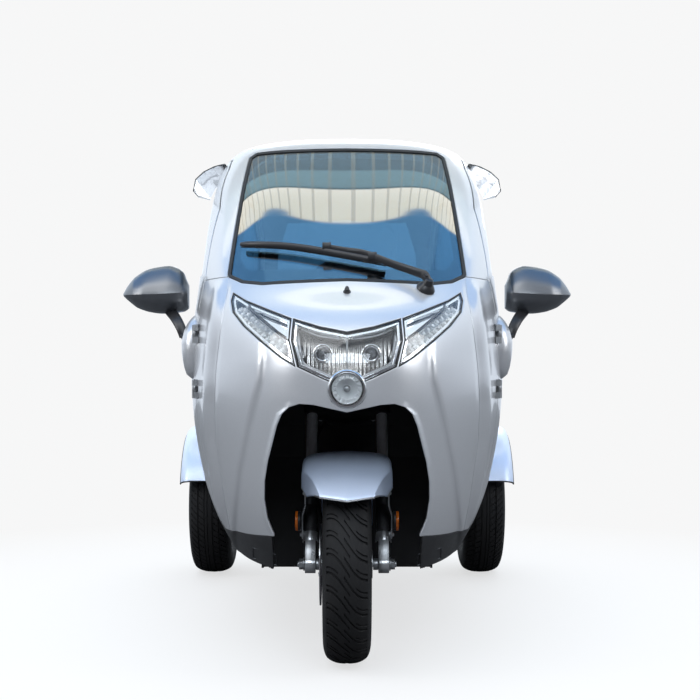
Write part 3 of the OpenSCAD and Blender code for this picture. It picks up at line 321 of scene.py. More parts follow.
COAT = {"Coat Weight": 0.6, "Coat Roughness": 0.07}
MATS = {
    "silver_paint": finish_material("silver_paint", (0.64, 0.65, 0.67), 0.30, 0.55, tint=0.02, flake=0.25,
                                    rough_var=0.03, wave=0.03, wave_scale=3.0, **COAT),
    # fender_paint is partly the fender's own paint and partly painted light: its base is made lighter and bluer to
    # stand for blue sky light falling on the fender from the front and top.
    "fender_paint": finish_material("fender_paint", (0.68, 0.79, 1.0), 0.34, 0.30, tint=0.02, flake=0.15,
                                    rough_var=0.02, **{"Coat Weight": 0.35, "Coat Roughness": 0.22}),
    "frame_paint": finish_material("frame_paint", (0.022, 0.022, 0.024), 0.42, tint=0.15, grain=0.15,
                                   grain_scale=500, dust=0.4),
    "black_plastic": finish_material("black_plastic", (0.012, 0.012, 0.013), 0.5, tint=0.15, grain=0.4,
                                     grain_scale=1300),
    "cabin_plastic": finish_material("cabin_plastic", (0.045, 0.046, 0.05), 0.6, tint=0.1, grain=0.55,
                                     grain_scale=1000),
    "satin_black": finish_material("satin_black", (0.02, 0.02, 0.022), 0.34, tint=0.1, grain=0.12,
                                   grain_scale=1500),
    "cast_black": finish_material("cast_black", (0.03, 0.03, 0.032), 0.5, 0.3, tint=0.2, grain=0.7,
                                  grain_scale=700),
    "rubber_seal": finish_material("rubber_seal", (0.012, 0.012, 0.012), 0.6, tint=0.2, grain=0.3,
                                   grain_scale=1200),
    "tyre_rubber": finish_material("tyre_rubber", (0.006, 0.006, 0.007), 0.7, tint=0.25, tint_scale=20,
                                   grain=0.4, grain_scale=900, dust=0.06, **{"Specular IOR Level": 0.3}),
    "red_lens": finish_material("red_lens", (0.55, 0.015, 0.02), 0.08, tint=0.05, rough_var=0.03,
                                **{"Transmission Weight": 0.5, "IOR": 1.49}),
    "lamp_chrome": finish_material("lamp_chrome", (0.86, 0.87, 0.88), 0.10, 1.0, tint=0.02, rough_var=0.05),
    "fork_alloy": finish_material("fork_alloy", (0.62, 0.63, 0.64), 0.30, 0.9, tint=0.05, grain=0.15,
                                  grain_scale=600, dust=0.2),
    "rim_alloy": finish_material("rim_alloy", (0.50, 0.51, 0.52), 0.34, 0.85, tint=0.05, grain=0.12,
                                 grain_scale=500, dust=0.25),
    "disc_steel": finish_material("disc_steel", (0.52, 0.52, 0.53), 0.28, 1.0, tint=0.05),
    "steel": finish_material("steel", (0.42, 0.43, 0.44), 0.36, 0.9, tint=0.08, grain=0.2, grain_scale=800),
    "seat_cover": finish_material("seat_cover", (0.05, 0.05, 0.055), 0.62, tint=0.12, grain=0.8,
                                  grain_scale=420, **{"Sheen Weight": 0.2}),
    "orange_lens": finish_material("orange_lens", (0.90, 0.20, 0.02), 0.12, tint=0.05, grain=0.6,
                                   grain_scale=260, **{"Transmission Weight": 0.25}),
    "white_led": finish_material("white_led", (0.92, 0.94, 0.95), 0.25, tint=0.02),
    "lamp_fluted": finish_material("lamp_fluted", (0.82, 0.80, 0.77), 0.22, 0.75, tint=0.05, flute=32.0),
    # stanchion: a near-white base with little metal, far lighter than the tubes' dark satin finish, as painted light
    # where the hood and arch shade the fork.
    "stanchion": finish_material("stanchion", (0.95, 0.95, 0.97), 0.32, 0.2, tint=0.05),
    "mirror_shell": finish_material("mirror_shell", (0.014, 0.015, 0.019), 0.4, tint=0.05,
                                    **{"Coat Weight": 1.0, "Coat Roughness": 0.33, "Coat IOR": 2.3,
                                       "Coat Tint": (0.8, 0.9, 1.0, 1.0)}),
    "lamp_grey": finish_material("lamp_grey", (0.50, 0.51, 0.53), 0.34, 0.4, tint=0.05),
    "projector_glass": finish_material("projector_glass", (0.45, 0.47, 0.5), 0.05, tint=0.05, rough_var=0.02,
                                       **{"Transmission Weight": 0.7, "IOR": 1.5}),
    "dial_glass": finish_material("dial_glass", (0.015, 0.017, 0.02), 0.06, tint=0.05, rough_var=0.02),
}


def glass_material(name, colour, rough, weight=1.0, ior=1.45, **sockets):
    return finish_material(name, colour, rough, tint=0.02, rough_var=0.008,
                           **{"Transmission Weight": weight, "IOR": ior}, **sockets)


MATS["tinted_glass"] = glass_material("tinted_glass", (0.16, 0.30, 0.40), 0.02,
                                      **{"Coat Weight": 1.0, "Coat IOR": 2.0, "Coat Roughness": 0.01})
MATS["clear_lens"] = glass_material("clear_lens", (0.97, 0.98, 0.99), 0.02)
MATS["visor_glass"] = glass_material("visor_glass", (0.86, 0.87, 0.89), 0.04)


# ---------------------------------------------------------------- making pieces

def piece(name, mesh, mat, body="root", replaces=(), smooth=True):
    obj = bpy.data.objects.new(name, mesh)
    scene.collection.objects.link(obj)
    if mat:
        mesh.materials.append(MATS[mat])
    if smooth:
        mesh.polygons.foreach_set("use_smooth", [True] * len(mesh.polygons))
    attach(obj, body)
    if replaces:
        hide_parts(*replaces)
    return obj


# ---------------------------------------------------------------- the body surface

# Columns, in millimetres: height, front y, rear y, half width, y of the widest place,
# roundness exponent of the front half, roundness exponent of the rear half.
SECTIONS = np.array([
    [250, -1030, 1000, 346, -60, 2.1, 3.0], [330, -1060, 1035, 390, -60, 2.1, 3.0],
    [430, -1080, 1062, 426, -60, 2.1, 2.9], [560, -1094, 1084, 452, -60, 2.1, 2.8],
    [690, -1100, 1102, 464, -60, 2.1, 2.7], [790, -1086, 1110, 464, -60, 2.1, 2.7],
    [870, -1020, 1104, 456, -60, 2.3, 2.7], [950, -890, 1086, 442, -60, 2.7, 2.7],
    [1050, -752, 1040, 430, -60, 3.0, 2.7], [1160, -612, 970, 422, -50, 3.0, 2.7],
    [1270, -470, 875, 410, 0, 3.0, 2.7], [1360, -335, 765, 386, 50, 2.9, 2.7],
    [1415, -235, 660, 348, 90, 2.8, 2.6], [1447, -125, 540, 275, 130, 2.6, 2.5],
    [1466, 10, 400, 165, 160, 2.4, 2.4], [1473, 180, 180, 0, 180, 2.2, 2.2]], float)
TOP_V = len(SECTIONS) - 1


def section(v):
    v = np.clip(np.asarray(v, float), 0, TOP_V)
    i = np.minimum(v.astype(int), TOP_V - 1)
    f = (v - i)[..., None]
    b, c = SECTIONS[i], SECTIONS[i + 1]
    a = np.where((i > 0)[..., None], SECTIONS[np.maximum(i - 1, 0)], 2 * b - c)
    d = np.where((i + 2 <= TOP_V)[..., None], SECTIONS[np.minimum(i + 2, TOP_V)], 2 * c - b)
    return (2 * b + (c - a) * f + (2 * a - 5 * b + 4 * c - d) * f * f + (3 * b - a - 3 * c + d) * f ** 3) / 2


def surface(v, t):
    s = section(v)
    u = np.mod(t, 4)
    side = np.where(u <= 2, 1.0, -1.0)
    q = np.where(u <= 2, u, 4 - u)
    front = q <= 1
    angle = np.where(front, q, 2 - q) * np.pi / 2
    n = np.where(front, s[..., 5], s[..., 6])
    reach = np.where(front, s[..., 1], s[..., 2]) - s[..., 4]
    sine, cosine = np.clip(np.sin(angle), 0, 1), np.clip(np.cos(angle), 0, 1)
    return np.stack([side * s[..., 3] * sine ** (2 / n), s[..., 4] + reach * cosine ** (2 / n),
                     s[..., 0] + 0 * sine], -1)


V_FINE = np.linspace(0, TOP_V, 3001)
Z_FINE = section(V_FINE)[:, 0]


def v_of_z(z):
    return np.interp(z, Z_FINE, V_FINE)


def from_front(points, rear=False):
    """(v, t) of points drawn in front view, x and z; rear takes the back half of the body."""
    p = np.asarray(points, float)
    v = v_of_z(p[:, 1])
    s = section(v)
    n = s[:, 6] if rear else s[:, 5]
    a = np.arcsin(np.clip(np.abs(p[:, 0]) / s[:, 3], 0, 1) ** (n / 2)) / (np.pi / 2)
    t = 2 - a if rear else a
    return np.stack([v, np.where(p[:, 0] < 0, 4 - t, t)], 1)


def from_side(points, side=1):
    """(v, t) of points drawn in side view, y and z."""
    p = np.asarray(points, float)
    v = v_of_z(p[:, 1])
    s = section(v)
    front = p[:, 0] < s[:, 4]
    n = np.where(front, s[:, 5], s[:, 6])
    reach = np.where(front, s[:, 1], s[:, 2]) - s[:, 4]
    a = np.arccos(np.clip((p[:, 0] - s[:, 4]) / reach, 0, 1) ** (n / 2)) / (np.pi / 2)
    t = np.where(front, a, 2 - a)
    return np.stack([v, 4 - t if side < 0 else t], 1)


def from_top(points):
    """(v, t) of points drawn in top view, x and y, on the roof."""
    p = np.asarray(points, float)
    low, high = np.full(len(p), 8.0), np.full(len(p), TOP_V - 0.001)
    for _ in range(40):
        v = (low + high) / 2
        s = section(v)
        front = p[:, 1] < s[:, 4]
        n = np.where(front, s[:, 5], s[:, 6])
        reach = np.where(front, s[:, 1], s[:, 2]) - s[:, 4]
        out = (np.abs(p[:, 0]) / s[:, 3]) ** n + (np.abs((p[:, 1] - s[:, 4]) / reach)) ** n > 1
        high, low = np.where(out, v, high), np.where(out, low, v)
    v = (low + high) / 2
    s = section(v)
    front = p[:, 1] < s[:, 4]
    n = np.where(front, s[:, 5], s[:, 6])
    a = np.arcsin(np.clip(np.abs(p[:, 0]) / s[:, 3], 0, 1) ** (n / 2)) / (np.pi / 2)
    t = np.where(front, a, 2 - a)
    return np.stack([v, np.where(p[:, 0] < 0, 4 - t, t)], 1)


# ---------------------------------------------------------------- outlines

def mirrored(half):
    return list(half) + [(-x, z) for x, z in reversed(half)]


def turned_area(p):
    x, y = p[:, 0], p[:, 1]
    return 0.5 * np.sum(x * np.roll(y, -1) - y * np.roll(x, -1))


def clean(points):
    p = [points[0]]
    for q in points[1:]:
        if math.dist(q, p[-1]) > 0.01:
            p.append(q)
    if math.dist(p[0], p[-1]) <= 0.01:
        p.pop()
    return np.array(p, float)


def soften(points, r):
    """Rounds the corners that stick out, as the solids' outlines are."""
    p = clean(points)
    turn = 1 if turned_area(p) > 0 else -1
    out = []
    for i in range(len(p)):
        a, b, c = p[i - 1], p[i], p[(i + 1) % len(p)]
        u, w = a - b, c - b
        lu, lw = np.linalg.norm(u), np.linalg.norm(w)
        u, w = u / lu, w / lw
        cosine = np.clip(np.dot(u, w), -1, 1)
        bend = math.pi - math.acos(cosine)
        if turn * (-u[0] * w[1] + u[1] * w[0]) <= 1e-9 or bend < 0.02:
            out.append(b)
            continue
        length = min(r * math.tan(bend / 2), 0.49 * lu, 0.49 * lw)
        steps = max(2, int(bend / 0.18))
        for k in range(steps + 1):
            f = k / steps
            out.append(b + u * length * (1 - f) ** 2 + w * length * f ** 2)
    return np.array(out)


def dense(points, step=9.0, closed=True):
    p = np.asarray(points, float)
    ends = np.vstack([p, p[:1]]) if closed else p
    out = []
    for a, b in zip(ends[:-1], ends[1:]):
        n = max(1, int(round(np.linalg.norm(b - a) / step)))
        out += [a + (b - a) * k / n for k in range(n)]
    if not closed:
        out.append(ends[-1])
    return np.array(out)


def offset(points, d):
    """Moves a closed outline outward by d."""
    p = clean([tuple(q) for q in points])
    turn = 1 if turned_area(p) > 0 else -1
    e = np.roll(p, -1, 0) - p
    e /= np.linalg.norm(e, axis=1)[:, None]
    n = turn * np.stack([e[:, 1], -e[:, 0]], 1)
    m = n + np.roll(n, 1, 0)
    m /= np.maximum(np.linalg.norm(m, axis=1), 1e-6)[:, None]
    scale = d / np.maximum(np.sum(m * n, 1), 0.5)
    return p + m * scale[:, None]


def inside(poly, a, b):
    """Even-odd test of the points (a, b)."""
    out = np.zeros(len(a), bool)
    poly = np.asarray(poly)
    lo, hi = poly.min(0), poly.max(0)
    near = np.nonzero((a >= lo[0]) & (a <= hi[0]) & (b >= lo[1]) & (b <= hi[1]))[0]
    x, y = a[near], b[near]
    hit = np.zeros(len(near), bool)
    for (x0, y0), (x1, y1) in zip(poly, np.roll(poly, -1, 0)):
        if y0 == y1:
            continue
        cross = (y0 > y) != (y1 > y)
        hit ^= cross & (x < (x1 - x0) * (y - y0) / (y1 - y0) + x0)
    out[near] = hit
    return out


SEAM = 0.8
DOOR_GAP = 6.0
WAIST_Z = 986.0
DOOR_Y0, DOOR_Y1 = -554.0, 260.0
AXLE_Y, AXLE_Z = 690.0, 250.0
FRONT_Y, FRONT_Z = -810.0, 248.0

COWL_HALF = [(292, 200), (306, 318), (318, 400), (327, 470), (340, 560), (342, 660),
             (336, 750), (324, 850), (314, 920), (308, 1000)]
ARCH_HALF = [(178, 150), (176, 343), (192, 381), (199, 428), (198, 472), (190, 520),
             (177, 569), (166, 610), (154, 638), (137, 655), (113, 663), (79, 661), (0, 644)]
SCREEN_HALF = [(0, 966), (110, 962), (215, 958), (270, 966), (315, 988),
               (308, 1120), (300, 1260), (291, 1376), (270, 1392), (0, 1397)]
HEADLAMP_HALF = [(0, 834), (65, 847), (130, 868), (134, 814), (119, 750), (63, 724), (30, 710), (0, 706)]
SIDE_LAMP_EDGE = [(133.5, 868), (188, 890), (254, 918), (293, 942), (298, 921), (290, 888),
                  (258, 851), (209, 810), (163, 774), (122, 749), (137, 814)]
DOOR_EDGE = [(DOOR_Y0, 324), (DOOR_Y1, 324), (DOOR_Y1, 1330), (DOOR_Y1 - 45, 1378), (-140, 1378),
             (-215, 1340), (-400, 1200), (DOOR_Y0, WAIST_Z + 8)]
DOOR_WINDOW = [(-491, 1008), (218, 1008), (218, 1313.5), (196.9, 1336), (-129.9, 1336),
               (-192.3, 1304.4), (-369.8, 1170.1)]
QUARTER_EDGE = [(322, 1012), (800, 1012), (720, 1180), (600, 1310), (540, 1335), (322, 1345)]
REAR_HALF = [(0, 1010), (300, 1010), (285, 1180), (240, 1310), (0, 1330)]
TAIL_LAMP_EDGE = [(338, 640), (366, 652), (384, 740), (384, 850), (362, 900), (338, 890)]
FRIT_HALF = [(0, 1004), (262, 1004), (286, 1040), (280, 1150), (272, 1262), (262, 1338), (240, 1356), (0, 1362)]

cowl = clean(mirrored(COWL_HALF))
arch = clean(mirrored(ARCH_HALF))
screen = soften(mirrored(SCREEN_HALF), 14)
headlamp = clean(mirrored(HEADLAMP_HALF))
side_lamp = clean(SIDE_LAMP_EDGE)
door = soften(DOOR_EDGE, 24)
door_window = soften(DOOR_WINDOW, 16)
quarter = soften(QUARTER_EDGE, 20)
rear_window = soften(mirrored(REAR_HALF), 24)
tail_lamp = soften(TAIL_LAMP_EDGE, 8)
frit = soften(mirrored(FRIT_HALF), 30)
lid = soften([(-325, 562), (325, 562), (325, 936), (-325, 936)], 30)
roof = soften([(-292, -190), (292, -190), (292, 570), (-292, 570)], 60)
nose_ring = np.array([(46.3 * math.cos(a), 699 + 46.3 * math.sin(a))
                      for a in np.linspace(0, 2 * math.pi, 40, endpoint=False)])
HINGE_ZS = (690, 840)
wing_pockets = [[(-606.3, z - 25.3), (-560, z - 25.3), (-560, z + 25.3), (-606.3, z + 25.3)] for z in HINGE_ZS]
door_pockets = [[(-560, z - 25.3), (-500, z - 25.3), (-500, z + 25.3), (-560, z + 25.3)] for z in HINGE_ZS]
lid_pockets = [[(x - 25, 899), (x + 25, 899), (x + 25, 979), (x - 25, 979)] for x in (-100, 100)]
CREASE = [(213, 838), (206, 800), (204, 770), (208, 720), (222, 670), (241, 597), (265, 495),
          (281, 401), (298, 301), (303, 250)]


def skirt_seam_z(x, y):
    rise = np.clip((320 - np.abs(x)) / 150, 0, 1) * 22
    return 318 + np.where(y < 0, rise, 0)


def ring(height, n=520):
    """A closed line round the body whose height is a function of place."""
    t = np.linspace(0, 4, n, endpoint=False)
    v = np.full(n, v_of_z(320.0))
    for _ in range(4):
        p = surface(v, t)
        v = v_of_z(height(p[:, 0], p[:, 1]))
    return np.stack([v, t], 1)


def crease_x(z):
    line = np.array(CREASE, float)[::-1]
    return np.interp(z, line[:, 1], line[:, 0])


def cowl_x(z):
    line = np.array(COWL_HALF, float)
    return np.interp(z, line[:, 1], line[:, 0])


def arch_x(z):
    line = np.array(ARCH_HALF[:10], float)
    return np.interp(z, line[:, 1], line[:, 0])


def relief(x, y, z):
    """Height of the pressed lines of the front, in millimetres above the plain surface."""
    ax = np.abs(x)
    front = np.clip((-560 - y) / 90, 0, 1)
    front = front * front * (3 - 2 * front)
    d = ax - crease_x(z)
    fade = np.clip((838 - z) / 80, 0, 1) * np.clip((z - 200) / 60, 0, 1)
    sharp = 3.4 * np.tanh(d / 5.0) * np.exp(-np.abs(d) / 52)
    e = ax - cowl_x(z)
    rib = 8.0 * np.exp(-((e - 24) / 17) ** 2) - 3.0 * np.exp(-(e / 9) ** 2)
    lip = 3.5 * np.exp(-(np.maximum(np.abs(ax - arch_x(z)) - 2, 0) / 8) ** 2) * np.clip((668 - z) / 30, 0, 1)
    low = np.clip((z - 300) / 60, 0, 1)
    return front * (sharp * fade + rib * np.clip((985 - z) / 40, 0, 1) * low + lip * low)


def relief_at(v, t):
    p = surface(v, t)
    return relief(p[..., 0], p[..., 1], p[..., 2])


def surface_frame(v, t, with_relief=True):
    """Places, plain outward normals, and shaded normals that follow the relief."""
    dv, dt = 0.006, 0.003
    v0, v1 = np.clip(v - dv, 0, TOP_V), np.clip(v + dv, 0, TOP_V)
    p = surface(v, t)
    pv = (surface(v1, t) - surface(v0, t)) / (v1 - v0)[:, None]
    pt = (surface(v, t + dt) - surface(v, t - dt)) / (2 * dt)
    n = np.cross(pt, pv)
    n[np.linalg.norm(n, axis=1) < 1e-6] = (0, 0, 1)
    n /= np.linalg.norm(n, axis=1)[:, None]
    if not with_relief:
        return p, n, n
    rise = relief(p[:, 0], p[:, 1], p[:, 2])
    rv = (relief_at(v1, t) - relief_at(v0, t)) / (v1 - v0)
    rt = (relief_at(v, t + dt) - relief_at(v, t - dt)) / (2 * dt)
    a, b, c = np.sum(pv * pv, 1), np.sum(pv * pt, 1), np.sum(pt * pt, 1)
    det = np.maximum(a * c - b * b, 1e-6)
    gv, gt = (c * rv - b * rt) / det, (a * rt - b * rv) / det
    shaded = n - gv[:, None] * pv - gt[:, None] * pt
    shaded /= np.linalg.norm(shaded, axis=1)[:, None]
    return p + n * rise[:, None], n, shaded


# ---------------------------------------------------------------- one triangulation of the body

GRID_V = np.linspace(0, TOP_V - 0.05, 260)
GRID_T = np.linspace(0, 4, 801)
_grid = surface(GRID_V[:, None], GRID_T[None, :])
_steps = np.linalg.norm(np.diff(_grid, axis=1), axis=2)
PERIMETER = _steps.sum(1)
ARC = np.concatenate([np.zeros((len(GRID_V), 1)), np.cumsum(_steps, 1)], 1) / PERIMETER[:, None] * 4
SLANT = np.linalg.norm(np.diff(_grid, axis=0), axis=2).mean(1)
LOG_R = -np.concatenate([[0], np.cumsum(SLANT * 2 * np.pi * 2 / (PERIMETER[1:] + PERIMETER[:-1]))])
CHART = 1000.0


def to_chart(vt):
    v, t = vt[:, 0], np.mod(vt[:, 1], 4)
    fi = np.clip(v / GRID_V[1], 0, len(GRID_V) - 1.001)
    fj = t / GRID_T[1]
    i, j = fi.astype(int), np.minimum(fj.astype(int), len(GRID_T) - 2)
    a, b = fi - i, fj - j
    arc = ((1 - a) * (1 - b) * ARC[i, j] + a * (1 - b) * ARC[i + 1, j]
           + (1 - a) * b * ARC[i, j + 1] + a * b * ARC[i + 1, j + 1])
    r = CHART * np.exp(np.interp(v, GRID_V, LOG_R))
    return np.stack([r * np.cos(arc * np.pi / 2), r * np.sin(arc * np.pi / 2)], 1)


def from_chart(x, y):
    r = math.log(max(math.hypot(x, y), 1e-6) / CHART)
    v = float(np.interp(-r, -LOG_R, GRID_V))
    arc = (math.atan2(y, x) / (math.pi / 2)) % 4
    f = min(v / GRID_V[1], len(GRID_V) - 1.001)
    i = int(f)
    row = ARC[i] * (1 - f + i) + ARC[i + 1] * (f - i)
    return v, float(np.interp(arc, row, GRID_T))


def body_lines():
    """Every seam of the body, as closed or open lines of (v, t)."""
    lines = []

    def front(poly, closed=True, rear=False, step=9.0):
        lines.append((from_front(dense(poly, step, closed), rear), closed))

    def both_front(poly, closed=True, rear=False, step=9.0):
        front(poly, closed, rear, step)
        front([(-x, z) for x, z in poly], closed, rear, step)

    def both_sides(poly, closed=True, step=9.0):
        for side in (1, -1):
            lines.append((from_side(dense(poly, step, closed), side), closed))

    lines.append((ring(lambda x, y: np.full(len(x), 250.0)), True))
    lines.append((ring(skirt_seam_z), True))
    lines.append((ring(lambda x, y: skirt_seam_z(x, y) + SEAM), True))
    lines.append((ring(lambda x, y: np.full(len(x), WAIST_Z - SEAM / 2)), True))
    lines.append((ring(lambda x, y: np.full(len(x), WAIST_Z + SEAM / 2)), True))
    for d in (-SEAM / 2, SEAM / 2):
        half = [(x + d, z) for x, z in COWL_HALF if z > 300]
        half = [(304.0 + d, 300)] + half[:-1] + [(308 + d, 985)]
        both_front(half, closed=False)
    front([p for p in arch if True], step=6.0)
    for d in (3.0, 6.0, 11.0, 17.0):
        front(offset(arch, d), step=6.0)
    front(screen, step=7.0)
    front(offset(screen, SEAM), step=7.0)
    for d in (-0.3, -9.0, -9.3):
        front(offset(screen, d), step=7.0)
    front(frit, step=8.0)
    front(headlamp, step=6.0)
    both_front(side_lamp, step=6.0)
    for d in (-0.3, -3.5, -3.8, -11.0):
        front(offset(headlamp, d), step=6.0)
        both_front(offset(side_lamp, d), step=6.0)
    front(nose_ring, step=6.0)
    both_sides(door)
    both_sides(offset(door, DOOR_GAP))
    both_sides(door_window)
    both_sides(offset(door_window, -0.3))
    both_sides(offset(door_window, -16.0))
    both_sides(quarter)
    both_sides(offset(quarter, -0.3))
    both_sides(offset(quarter, -18.0))
    for poly in wing_pockets + door_pockets:
        both_sides(poly)
    front(rear_window, rear=True)
    front(offset(rear_window, -0.3), rear=True)
    front(offset(rear_window, -18.0), rear=True)
    front(lid, rear=True)
    front(offset(lid, DOOR_GAP), rear=True)
    both_front(tail_lamp, rear=True, step=6.0)
    both_front(offset(tail_lamp, -0.3), rear=True, step=6.0)
    for poly in lid_pockets:
        front(poly, rear=True)
    lines.append((from_top(dense(roof, 10)), True))
    lines.append((from_top(dense(offset(roof, SEAM), 10)), True))
    for y in (DOOR_Y0 - DOOR_GAP, DOOR_Y1 + DOOR_GAP):
        both_sides([(y, 318), (y, WAIST_Z)], closed=False)
    for y in (AXLE_Y - 60, AXLE_Y + 60):
        both_sides([(y, 251), (y, 318)], closed=False)
    circle = [(AXLE_Y + 292 * math.cos(a), AXLE_Z + 292 * math.sin(a)) for a in np.linspace(0.1, 3.04, 80)]
    both_sides(circle, closed=False)
    both_front([(400.5, z) for z in np.linspace(360, 560, 24)], closed=False, rear=True)
    for d in (-12, -5, 0, 5, 12):
        both_front([(x + d, z) for x, z in CREASE[:-1]], closed=False)
    both_front([(x + 14, z) for x, z in COWL_HALF[1:-1]], closed=False)
    both_front([(x + 30, z) for x, z in COWL_HALF[1:-1]], closed=False)
    return lines


def triangulate(step=13.0):
    lines = body_lines()
    seam_points = np.vstack([vt for vt, _ in lines])
    near = kdtree.KDTree(len(seam_points))
    for i, p in enumerate(surface(seam_points[:, 0], seam_points[:, 1])):
        near.insert(p, i)
    near.balance()
    total = np.concatenate([[0], np.cumsum(SLANT)])
    rows = int(total[-1] / step)
    lattice = []
    for k in range(1, rows):
        v = float(np.interp(total[-1] * k / rows, total, GRID_V))
        i = min(int(v / GRID_V[1]), len(GRID_V) - 2)
        n = max(8, int(PERIMETER[i] / step))
        arcs = (np.arange(n) + (0.5 if k % 2 else 0.0)) * 4 / n
        for t in np.interp(arcs, ARC[i], GRID_T):
            lattice.append((v, t))
    lattice = np.array(lattice)
    keep = [i for i, p in enumerate(surface(lattice[:, 0], lattice[:, 1])) if near.find(p)[2] > 5.0]
    lattice = lattice[keep]
    vt = np.vstack([seam_points, lattice, [[TOP_V, 0]]])
    xy = to_chart(vt)
    xy[-1] = 0
    edges, start = [], 0
    for line, closed in lines:
        n = len(line)
        edges += [(start + k, start + k + 1) for k in range(n - 1)]
        if closed:
            edges.append((start + n - 1, start))
        start += n
    verts, _, faces, origin, _, _ = delaunay_2d_cdt([Vector(p) for p in xy], edges, [], 0, 1e-3)
    out = np.zeros((len(verts), 2))
    for i, source in enumerate(origin):
        out[i] = vt[source[0]] if source else from_chart(verts[i].x, verts[i].y)
    tris = np.array([f for f in faces if len(f) == 3])
    return out, tris


VT, TRIS = triangulate()
_mid = VT[TRIS]
_t = _mid[:, :, 1].copy()
_t[(_t.max(1) - _t.min(1)) > 2] = np.where(_t[(_t.max(1) - _t.min(1)) > 2] < 2,
                                           _t[(_t.max(1) - _t.min(1)) > 2] + 4,
                                           _t[(_t.max(1) - _t.min(1)) > 2])
CV, CT = _mid[:, :, 0].mean(1), _t.mean(1)
_c = surface(CV, CT)
CX, CY, CZ = _c[:, 0], _c[:, 1], _c[:, 2]
AX = np.abs(CX)
P_ALL, N_ALL, S_ALL = surface_frame(VT[:, 0], VT[:, 1])
_plain = surface_frame(VT[:, 0], VT[:, 1], False)
_a, _b, _d = P_ALL[TRIS[:, 0]], P_ALL[TRIS[:, 1]], P_ALL[TRIS[:, 2]]
_flip = np.sum(np.cross(_b - _a, _d - _a) * N_ALL[TRIS[:, 0]], 1) < 0
TRIS[_flip] = TRIS[_flip][:, ::-1]


def make_mesh(name, verts, faces, normals=None):
    mesh = bpy.data.meshes.new(name)
    mesh.from_pydata([tuple(p) for p in verts], [], [tuple(int(i) for i in f) for f in faces])
    mesh.polygons.foreach_set("use_smooth", [True] * len(mesh.polygons))
    if normals is not None:
        mesh.normals_split_custom_set_from_vertices([tuple(n) for n in normals])
    return mesh


def toward_inside(p, n):
    """Directions into the wall: along the normal, but straight back beside the wheel arch."""
    ends = np.array(arch, float)
    starts = np.roll(ends, 1, axis=0)
    away = np.full(len(p), 1e9)
    for a, b in zip(starts, ends):
        t = np.clip(((p[:, [0, 2]] - a) @ (b - a)) / max((b - a) @ (b - a), 1e-9), 0, 1)
        away = np.minimum(away, np.linalg.norm(p[:, [0, 2]] - a - t[:, None] * (b - a), axis=1))
    w = (np.clip((56 - away) / 28, 0, 1) * (p[:, 1] < 0))[:, None]
    way = -n * (1 - w) + np.array([0.0, 1.0, 0.0]) * w
    way /= np.linalg.norm(way, axis=1)[:, None]
    return way / np.maximum(-(way * n).sum(axis=1), 0.4)[:, None]


def body_panel(name, mask, top, bottom, mat, body="root", fillet=1.4, replaces=(), plain=False,
               lining=None):
    """One panel of the body: its skin, its rounded edges, its thickness and its inside."""
    tris = TRIS[mask]
    used, flat = np.unique(tris, return_inverse=True)
    tris = flat.reshape(-1, 3)
    base, n, shade = (P_ALL, N_ALL, S_ALL) if not plain else (_plain[0], _plain[1], _plain[1])
    p, n, shade = base[used], n[used], shade[used]
    count = len(used)
    edges = np.vstack([tris[:, [0, 1]], tris[:, [1, 2]], tris[:, [2, 0]]]).astype(np.int64)
    rim = edges[~np.isin(edges[:, 0] * count + edges[:, 1], edges[:, 1] * count + edges[:, 0])]
    inward = np.zeros((count, 3))
    for a, b in rim:
        d = p[b] - p[a]
        q = np.cross(n[a], d / max(np.linalg.norm(d), 1e-9))
        inward[a] += q
        inward[b] += q
    on_rim = np.unique(rim)
    size = np.linalg.norm(inward[on_rim], axis=1)
    q = inward[on_rim] / np.maximum(size, 1e-6)[:, None]
    q = q * np.minimum(2 / np.maximum(size, 1e-6), 1.6)[:, None]
    unit = inward[on_rim] / np.maximum(size, 1e-6)[:, None]
    nb, pb = n[on_rim], p[on_rim]
    outer = p - n * top
    outer[on_rim] += q * fillet
    s = fillet * 0.2929
    ring1 = pb + q * s - nb * (top + s)
    ring2 = pb - nb * (top + fillet)
    inner = p + toward_inside(p, n) * bottom
    slot_of = np.full(count, -1)
    slot_of[on_rim] = np.arange(len(on_rim))
    m = len(on_rim)
    verts = np.vstack([outer, ring1, ring2, inner]) * MM
    normals = np.vstack([shade, (nb - unit) * 0.7071, -unit, -n])
    faces = [tuple(f) for f in tris]
    first = count + 2 * m
    for a, b in rim:
        i, j = slot_of[a], slot_of[b]
        faces.append((b, a, count + i, count + j))
        faces.append((count + j, count + i, count + m + i, count + m + j))
        faces.append((count + m + j, count + m + i, first + a, first + b))
    faces += [(first + f[0], first + f[2], first + f[1]) for f in tris]
    mesh = make_mesh(name, verts, faces, normals)
    obj = piece(name, mesh, mat, body, replaces, smooth=False)
    if lining:
        mesh.materials.append(MATS[lining])
        index = np.zeros(len(faces), np.int32)
        index[-len(tris):] = 1
        mesh.polygons.foreach_set("material_index", index)
    return obj


def front_in(poly, rear=False):
    half = CY > 0 if rear else CY < 0
    return half & inside(poly, CX, CZ)


def both_in(poly, rear=False):
    half = CY > 0 if rear else CY < 0
    return half & inside(poly, AX, CZ)


def side_in(poly, side=0):
    ok = inside(poly, CY, CZ)
    return ok & (CX > 0) if side > 0 else ok & (CX < 0) if side < 0 else ok


above_skirt = CZ > skirt_seam_z(CX, CY) + SEAM / 2
in_arch = front_in(arch)
in_screen_gap = front_in(offset(screen, SEAM))
in_lamps = front_in(headlamp) | both_in(side_lamp) | front_in(nose_ring)
in_cowl = (AX < cowl_x(CZ)) & (CY < DOOR_Y0)
in_wing_pockets = side_in(wing_pockets[0]) | side_in(wing_pockets[1])
in_door_pockets = side_in(door_pockets[0]) | side_in(door_pockets[1])
in_lid_pockets = front_in(lid_pockets[0], True) | front_in(lid_pockets[1], True)
below_waist = CZ < WAIST_Z
near_cowl_seam = np.abs(AX - cowl_x(CZ)) < SEAM / 2
near_waist = np.abs(CZ - WAIST_Z) < SEAM / 2

